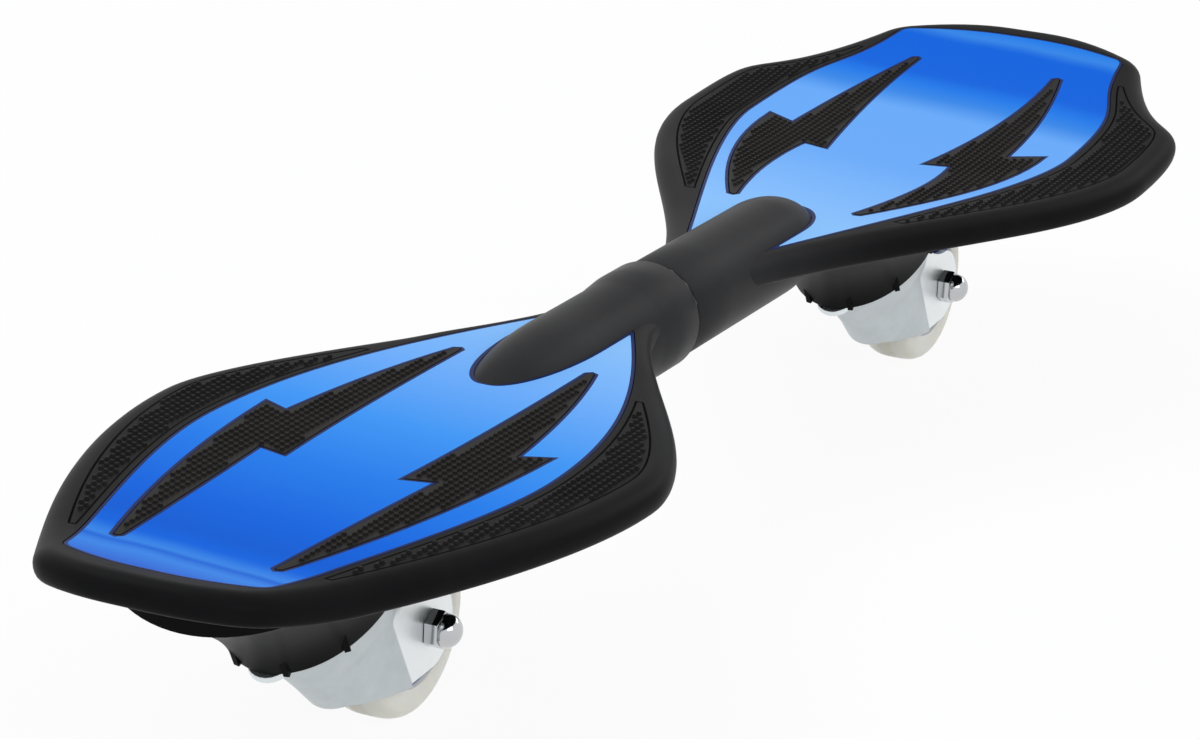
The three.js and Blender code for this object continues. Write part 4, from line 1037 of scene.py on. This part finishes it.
def axle_bolt():
    form = new_form()
    low = -AXLE_SEAT - AXLE_HEAD_HEIGHT
    hex_head(form, "Y", AXLE_HEAD, low, -AXLE_SEAT, low)
    rod(form, "Y", AXLE_RADIUS, low + 2.7, AXLE_SEAT + NUT_HEIGHT + 0.8, 32)
    return form


def cap_nut():
    form = new_form()
    top = AXLE_SEAT + NUT_HEIGHT
    dome = NUT_RADIUS * math.cos(math.pi / 6) - 0.1
    hex_head(form, "Y", NUT_RADIUS, AXLE_SEAT, top, top)
    profile = [(0, top - 1), (dome - 0.5, top - 1), (dome - 0.5, top + 0.2), (dome, top + 0.6)]
    profile += [(dome * run, top + 0.6 + (dome - 0.6) * rise) for run, rise in quarter(12)]
    lathe(profile, "Y", 48, closed=False, form=form)
    return form


def dress_caster(deck):
    name, wheel = deck["name"], deck["wheel"]
    swivel, axle = swivel_place(wheel), Matrix.Translation((wheel, 0, WHEEL_RADIUS))
    turning, rolling = name + "_caster", name + "_wheel"
    # The fork's zinc carries painted shade on its nose and along its crease.
    pressed, steel, balls = zinc_painted_shade(name, wheel), "zinc_steel", "ball_steel"
    for form, piece, body, node, slot, finish, place, *smooth in (
            (fork(), "pressed_fork", turning, "fork", steel, pressed, swivel, 32, EDGE),
            (race_plate(), "upper_race", name, "race_plate", steel, zinc, swivel, 32, EDGE),
            (ball_ring(), "balls", turning, "ball_ring", balls, ball_steel, swivel, 40),
            (kingpin_bolt(), "kingpin", name, "kingpin_bolt", steel, zinc, swivel, 30),
            (plate_screw(), "race_screw", name, "plate_screw", steel, zinc, swivel, 30),
            (tyre(), "cast_tyre", rolling, "tyre", "tyre_urethane", urethane, axle, 50),
            (hub(), "moulded_hub", rolling, "hub", "hub_nylon", hub_blue, axle, 40),
            (bearing(1), "sealed_bearing_left", rolling, "bearing_left", balls, ball_steel, axle, 30),
            (bearing(-1), "sealed_bearing_right", rolling, "bearing_right", balls, ball_steel, axle, 30),
            (axle_bolt(), "axle", turning, "axle_bolt", steel, zinc, axle, 30),
            (cap_nut(), "domed_nut", turning, "cap_nut", "chrome_steel", chrome, axle, 30)):
        finish_piece(form, f"{name}_{piece}", body, f"{name}_{node}", slot, [finish], place, *smooth)


# The board
for end in (FRONT, REAR):
    dress_deck(end)
for end in (FRONT, REAR):
    dress_caster(end)

# The solids that are shown as they are, and their finishes.
carried_over = {
    "pivot_tube": zinc, "neck_thrust_washer": washer_nylon, "neck_outer_bushing": bearing_nylon,
    "neck_inner_bushing": bearing_nylon, "torsion_bar": spring_steel}
for end in ("front_", "rear_"):
    for part in (
            "torsion_anchor", "anchor_bolt", "kingpin_washer", "kingpin_nut", "bearing_spacer",
            "axle_washer_left", "axle_washer_right"):
        carried_over[end + part] = zinc
for name, finish in carried_over.items():
    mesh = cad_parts[name].data
    mesh.materials.clear()
    mesh.materials.append(finish)


# Floor, light and camera
def studio_floor():
    """Pale floor that takes soft shadows and is white to the camera."""
    form = bmesh.new()
    bmesh.ops.create_grid(form, x_segments=4, y_segments=4, size=8)
    made = linked(form, "studio_floor")
    finish = Finish("studio_white")
    lit = finish.node("ShaderNodeBsdfDiffuse", {"Color": (0.9, 0.9, 0.9, 1)})
    painted_sheen_blue = finish.node("ShaderNodeEmission", {"Color": (1, 1, 1, 1), "Strength": 1.0})
    mixed = finish.node("ShaderNodeMixShader", {0: finish.seen() * 0.93, 1: lit, 2: painted_sheen_blue})
    made.data.materials.append(finish.end("ShaderNodeOutputMaterial", mixed))


def soft_box(name, place, aim, size, power):
    lamp = bpy.data.lights.new(name, "AREA")
    lamp.shape, lamp.size, lamp.size_y, lamp.energy = "RECTANGLE", size[0], size[1], power
    made = bpy.data.objects.new(name, lamp)
    bpy.context.scene.collection.objects.link(made)
    made.location = place
    made.rotation_euler = (Vector(aim) - Vector(place)).to_track_quat("-Z", "Y").to_euler()


def studio_world():
    """Soft sky that is white to the camera."""
    finish = Finish("studio_world", bpy.data.worlds)
    light = finish.node("ShaderNodeBackground", {"Color": (0.95, 0.97, 1.0, 1), "Strength": 0.6})
    white = finish.node("ShaderNodeBackground", {"Color": (1, 1, 1, 1), "Strength": 1.0})
    mixed = finish.node("ShaderNodeMixShader", {0: finish.seen(), 1: light, 2: white})
    bpy.context.scene.world = finish.end("ShaderNodeOutputWorld", mixed)


def photo_camera():
    """Camera fitted to the photo: angles in radians, focal length in pixels of its 1200 pixel width."""
    azimuth, elevation, roll, focal, wide = 2.0107010, 0.3188370, 0.0431212, 4491.78, 1200
    level = math.cos(elevation)
    back = Vector((math.sin(azimuth) * level, -math.cos(azimuth) * level, math.sin(elevation)))
    right = (-back).cross(Vector((0, 0, 1))).normalized()
    up = right.cross(-back)
    aim = Matrix((
        right * math.cos(roll) + up * math.sin(roll), up * math.cos(roll) - right * math.sin(roll), back))
    camera = bpy.data.cameras.new("photo_camera")
    camera.sensor_width, camera.lens, camera.clip_end = 36.0, 36.0 * focal / wide, 50.0
    made = bpy.data.objects.new("photo_camera", camera)
    bpy.context.scene.collection.objects.link(made)
    made.matrix_world = Matrix.Translation((1.6497168, 0.7486630, 0.6690704)) @ aim.transposed().to_4x4()
    bpy.context.scene.camera = made


studio_floor()
studio_world()
soft_box("high_key", (0.3, -0.9, 1.9), (0, 0, 0.1), (1.6, 1.2), 16)
soft_box("side_fill", (1.2, 1.8, 1.1), (0, 0, 0.08), (1.6, 0.9), 9)
soft_box("end_light", (-1.6, 0.8, 1.2), (-0.1, 0, 0.1), (1.2, 0.9), 7)
photo_camera()
bpy.context.scene.view_settings.view_transform = "Standard"
